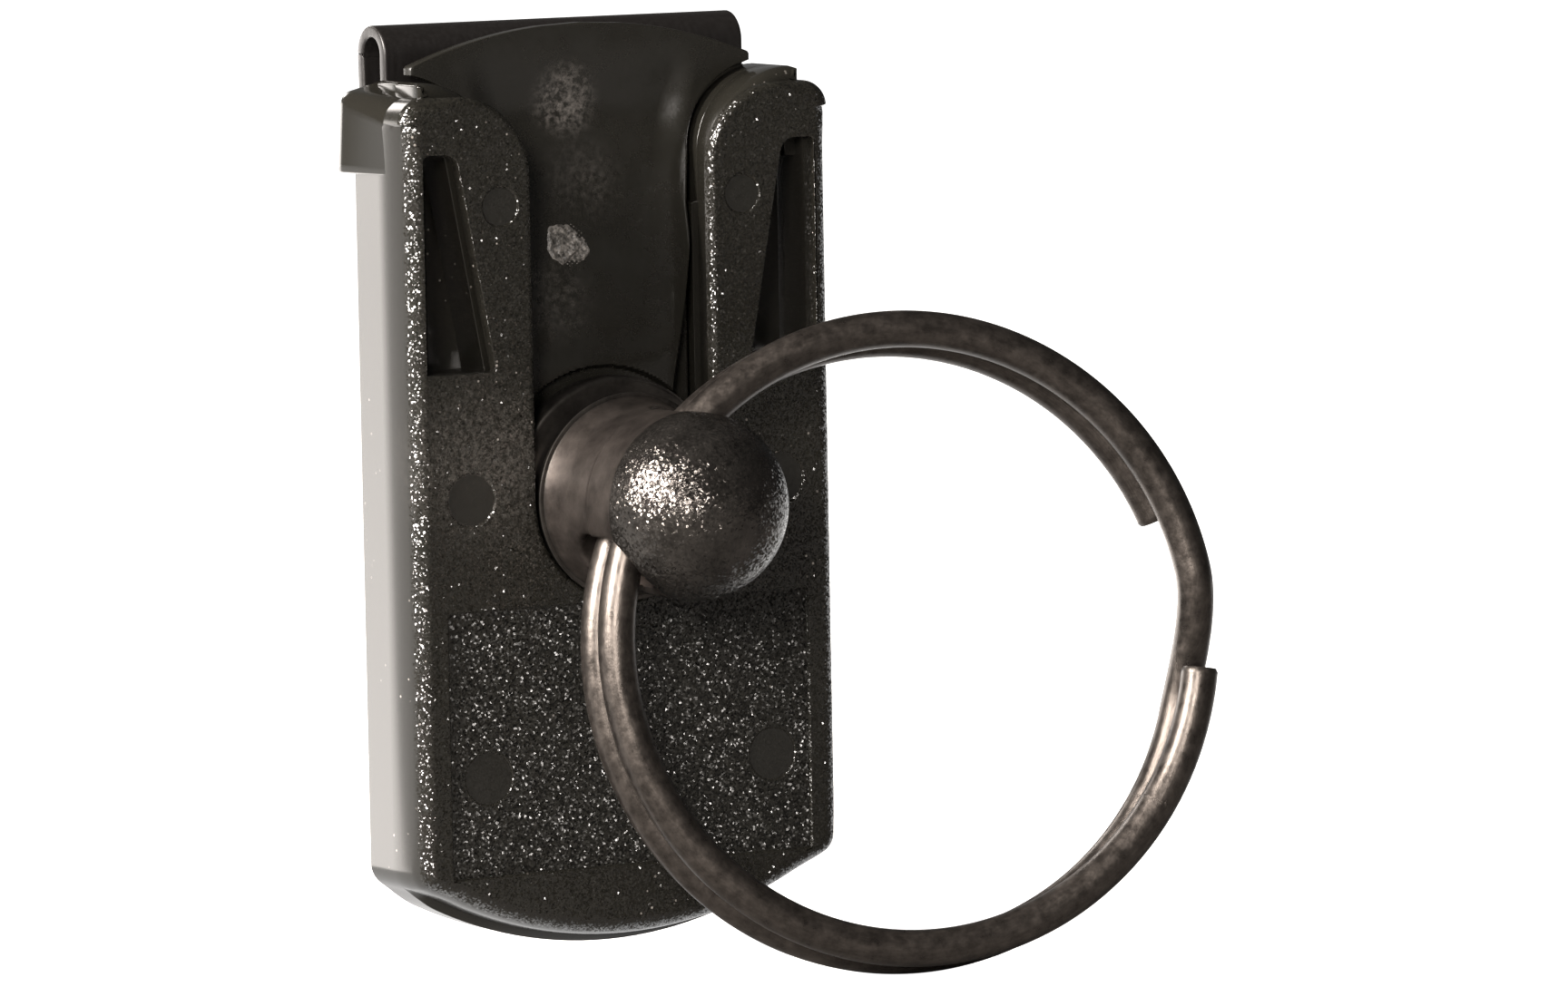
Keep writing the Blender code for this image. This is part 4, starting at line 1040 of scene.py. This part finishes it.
class KEYCOUPLER_OT_split_ring(bpy.types.Operator):
    """Makes the split ring: one wire of nearly two turns"""

    bl_idname = "keycoupler.split_ring"
    bl_label = "Split ring"

    def execute(self, context):
        sizes = context.scene.coupler_sizes
        wire, ring = sizes.wire / MM, sizes.ring / MM
        path, normal = wire_path(wire, ring, sizes.ring_lift)
        ahead = unit(np.gradient(path, axis=0))
        out = unit(np.cross(ahead, normal))
        up = np.cross(out, ahead)
        sides = 40
        angles = np.linspace(0, 2 * math.pi, sides, endpoint=False)
        along = lengths_along(path)
        radius = wire / 2 - fallen(np.minimum(along, along[-1] - along), 0.12)
        shape = out[:, None] * np.cos(angles)[None, :, None] + up[:, None] * np.sin(angles)[None, :, None]
        tube = path[:, None] + shape * radius[:, None, None]
        caps = [np.array([np.broadcast_to(path[k], (sides, 3)), path[k] + shape[k] * radius[k] * 0.9])
                for k in (0, -1)]
        shell = Shell()
        shell.grid(np.concatenate([caps[0], tube, caps[1][::-1]]), wrap=True)
        steel = drawn_gunmetal_wire("drawn_gunmetal_wire", context.scene.coupler_colours.ring)
        thing = shell.object("split_ring_wire", [steel], weld=0.0005, angle=50)
        # The map that the drawing lines follow: turn round the ring, and turn round the wire
        mesh = thing.data
        points = np.empty(len(mesh.vertices) * 3)
        mesh.vertices.foreach_get("co", points)
        local = points.reshape(-1, 3) / MM - path.mean(0)
        across = np.cross(normal, HOLE_ALONG)
        turn = np.arctan2(local @ HOLE_ALONG, local @ across)
        flat = np.hypot(local @ HOLE_ALONG, local @ across)
        section = np.arctan2(local @ normal, flat - (ring - wire) / 2)
        uv = np.stack([turn, section], 1) / (2 * math.pi)
        layer = mesh.uv_layers.new(name="wire")
        corner = np.empty(len(mesh.loops), np.int32)
        mesh.loops.foreach_get("vertex_index", corner)
        layer.data.foreach_set("uv", uv[corner].astype(np.float32).ravel())
        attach(thing, "ring")
        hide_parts("split_ring")
        return {"FINISHED"}


def lamp(name, direction, distance, size, radiance, aim=(0, 0, 0), turn=0.0):
    """A soft rectangular light of a given radiance, set off from its aim and facing back to it.

    At no distance it lies at its aim and shines along its direction, turned about it.
    """
    data = bpy.data.lights.new(name, "AREA")
    data.shape = "RECTANGLE"
    data.size, data.size_y = size
    data.energy = radiance * math.pi * size[0] * size[1]
    data.color = (1.0, 0.94, 0.89)
    thing = bpy.data.objects.new(name, data)
    bpy.context.scene.collection.objects.link(thing)
    direction = Vector(direction).normalized()
    thing.location = Vector(aim) + direction * distance
    if distance:
        thing.rotation_euler = direction.to_track_quat("Z", "Y").to_euler()
    else:
        thing.rotation_euler = (math.pi, 0, turn * DEG)


def studio_world():
    """A white room: full to the camera, faint in mirrors, brighter there towards its back wall."""
    world = bpy.data.worlds.new("studio")
    world.use_nodes = True
    tree = world.node_tree
    tree.nodes.clear()
    path = add(tree, "ShaderNodeLightPath").outputs
    ray = add(tree, "ShaderNodeTexCoord").outputs["Generated"]
    towards_back = add(tree, "ShaderNodeSeparateXYZ", {0: ray}).outputs["Y"]
    in_mirrors = calc(tree, "MULTIPLY", path["Is Glossy Ray"], spread(tree, towards_back, 0.7, 0.9, 0.04, 0.22))
    strength = calc(tree, "MAXIMUM", path["Is Camera Ray"], in_mirrors)
    strength = calc(tree, "MAXIMUM", strength, calc(tree, "MULTIPLY", path["Is Diffuse Ray"], 0.5))
    strength = calc(tree, "MAXIMUM", strength, path["Is Transmission Ray"])
    background = add(tree, "ShaderNodeBackground", {"Color": (1, 1, 1, 1), "Strength": strength})
    add(tree, "ShaderNodeOutputWorld", {"Surface": background.outputs[0]})
    bpy.context.scene.world = world


def fitted_camera():
    """The camera of the photograph: its turn, elevation and roll, and the pixel where the slot's seat lies."""
    turn_a, turn_e, roll = 30.0 * DEG, 5.5 * DEG, 1.05 * DEG
    width, height = 1728, 1088
    seat_x, seat_y = 692.0 - width / 2, 546.5 - height / 2
    focal, pixels_per_mm, sensor = 10400.0, 18.55, 36.0
    towards = Vector((-math.sin(turn_a) * math.cos(turn_e), -math.cos(turn_a) * math.cos(turn_e), math.sin(turn_e)))
    right = Vector((math.cos(turn_a), -math.sin(turn_a), 0))
    up = Vector((math.sin(turn_a) * math.sin(turn_e), math.cos(turn_a) * math.sin(turn_e), math.cos(turn_e)))
    tilted_right = right * math.cos(roll) - up * math.sin(roll)
    tilted_up = right * math.sin(roll) + up * math.cos(roll)
    ray = tilted_right * (seat_x / focal) - tilted_up * (seat_y / focal) - towards
    data = bpy.data.cameras.new("camera")
    data.sensor_fit = "HORIZONTAL"
    data.sensor_width = sensor
    data.lens = focal / width * sensor
    data.clip_start = 0.01
    camera = bpy.data.objects.new("camera", data)
    bpy.context.scene.collection.objects.link(camera)
    place = Vector((0, FACE * MM, 0)) - ray * (focal / pixels_per_mm * MM)
    turn = Matrix((tilted_right, tilted_up, towards)).transposed().to_4x4()
    camera.matrix_world = Matrix.Translation(place) @ turn
    bpy.context.scene.camera = camera


class KEYCOUPLER_OT_stage(bpy.types.Operator):
    """Makes the pale floor, the soft lights, the world and the camera"""

    bl_idname = "keycoupler.stage"
    bl_label = "Stage, lights and camera"

    def execute(self, context):
        scene = bpy.context.scene
        scene.view_settings.view_transform = "Standard"
        level, size = CAD_BOUNDS[0][2] - 0.0003, 3.0
        mesh = bpy.data.meshes.new("pale_floor")
        points = [(-size, -size, level), (size, -size, level), (size, size, level), (-size, size, level)]
        mesh.from_pydata(points, [], [(0, 1, 2, 3)])
        mesh.materials.append(white_paper("white_paper_sweep"))
        floor = bpy.data.objects.new("pale_floor", mesh)
        scene.collection.objects.link(floor)
        studio_world()
        lamp("side_softbox", (-0.284, 0.959, -0.02), 0.60, (0.36, 0.22), 5.6)
        lamp("low_card", (0, 0, 1), 0.0, (0.22, 0.52), 4.5, aim=(-0.080, 0.295, level + 0.0005), turn=32.0)
        lamp("left_softbox", (-0.87, -0.05, 0.44), 0.60, (0.26, 0.26), 102.0)
        lamp("back_light", (-0.08, 0.88, 0.465), 0.60, (0.20, 0.14), 10.0)
        lamp("front_flash", (-0.60, -0.74, 0.28), 0.80, (0.14, 0.20), 90.0)
        fitted_camera()
        return {"FINISHED"}


MAKERS = (
    KEYCOUPLER_OT_front_housing,
    KEYCOUPLER_OT_rear_housing,
    KEYCOUPLER_OT_thumb_tongue,
    KEYCOUPLER_OT_belt_clip,
    KEYCOUPLER_OT_stud_disc,
    KEYCOUPLER_OT_ball_stud,
    KEYCOUPLER_OT_split_ring,
    KEYCOUPLER_OT_stage,
)


class KEYCOUPLER_PT_panel(bpy.types.Panel):
    """Lists the sizes, the colours and the makers"""

    bl_label = "Key Coupler"
    bl_idname = "KEYCOUPLER_PT_panel"
    bl_space_type = "VIEW_3D"
    bl_region_type = "UI"
    bl_category = "Key Coupler"

    def draw(self, context):
        layout = self.layout
        for group in (context.scene.coupler_sizes, context.scene.coupler_colours):
            for name in group.__annotations__:
                layout.prop(group, name)
        for maker in MAKERS:
            layout.operator(maker.bl_idname)


CLASSES = (KeyCouplerSizes, KeyCouplerColours, *MAKERS, KEYCOUPLER_PT_panel)


def register():
    """Registers the classes and puts the settings on the scene."""
    for one in CLASSES:
        bpy.utils.register_class(one)
    bpy.types.Scene.coupler_sizes = bpy.props.PointerProperty(type=KeyCouplerSizes)
    bpy.types.Scene.coupler_colours = bpy.props.PointerProperty(type=KeyCouplerColours)


def unregister():
    """Takes the settings and the classes away again."""
    del bpy.types.Scene.coupler_sizes
    del bpy.types.Scene.coupler_colours
    for one in reversed(CLASSES):
        bpy.utils.unregister_class(one)


def main():
    register()
    for maker in MAKERS:
        group, name = maker.bl_idname.split(".")
        getattr(getattr(bpy.ops, group), name)()


if __name__ == "__main__":
    main()
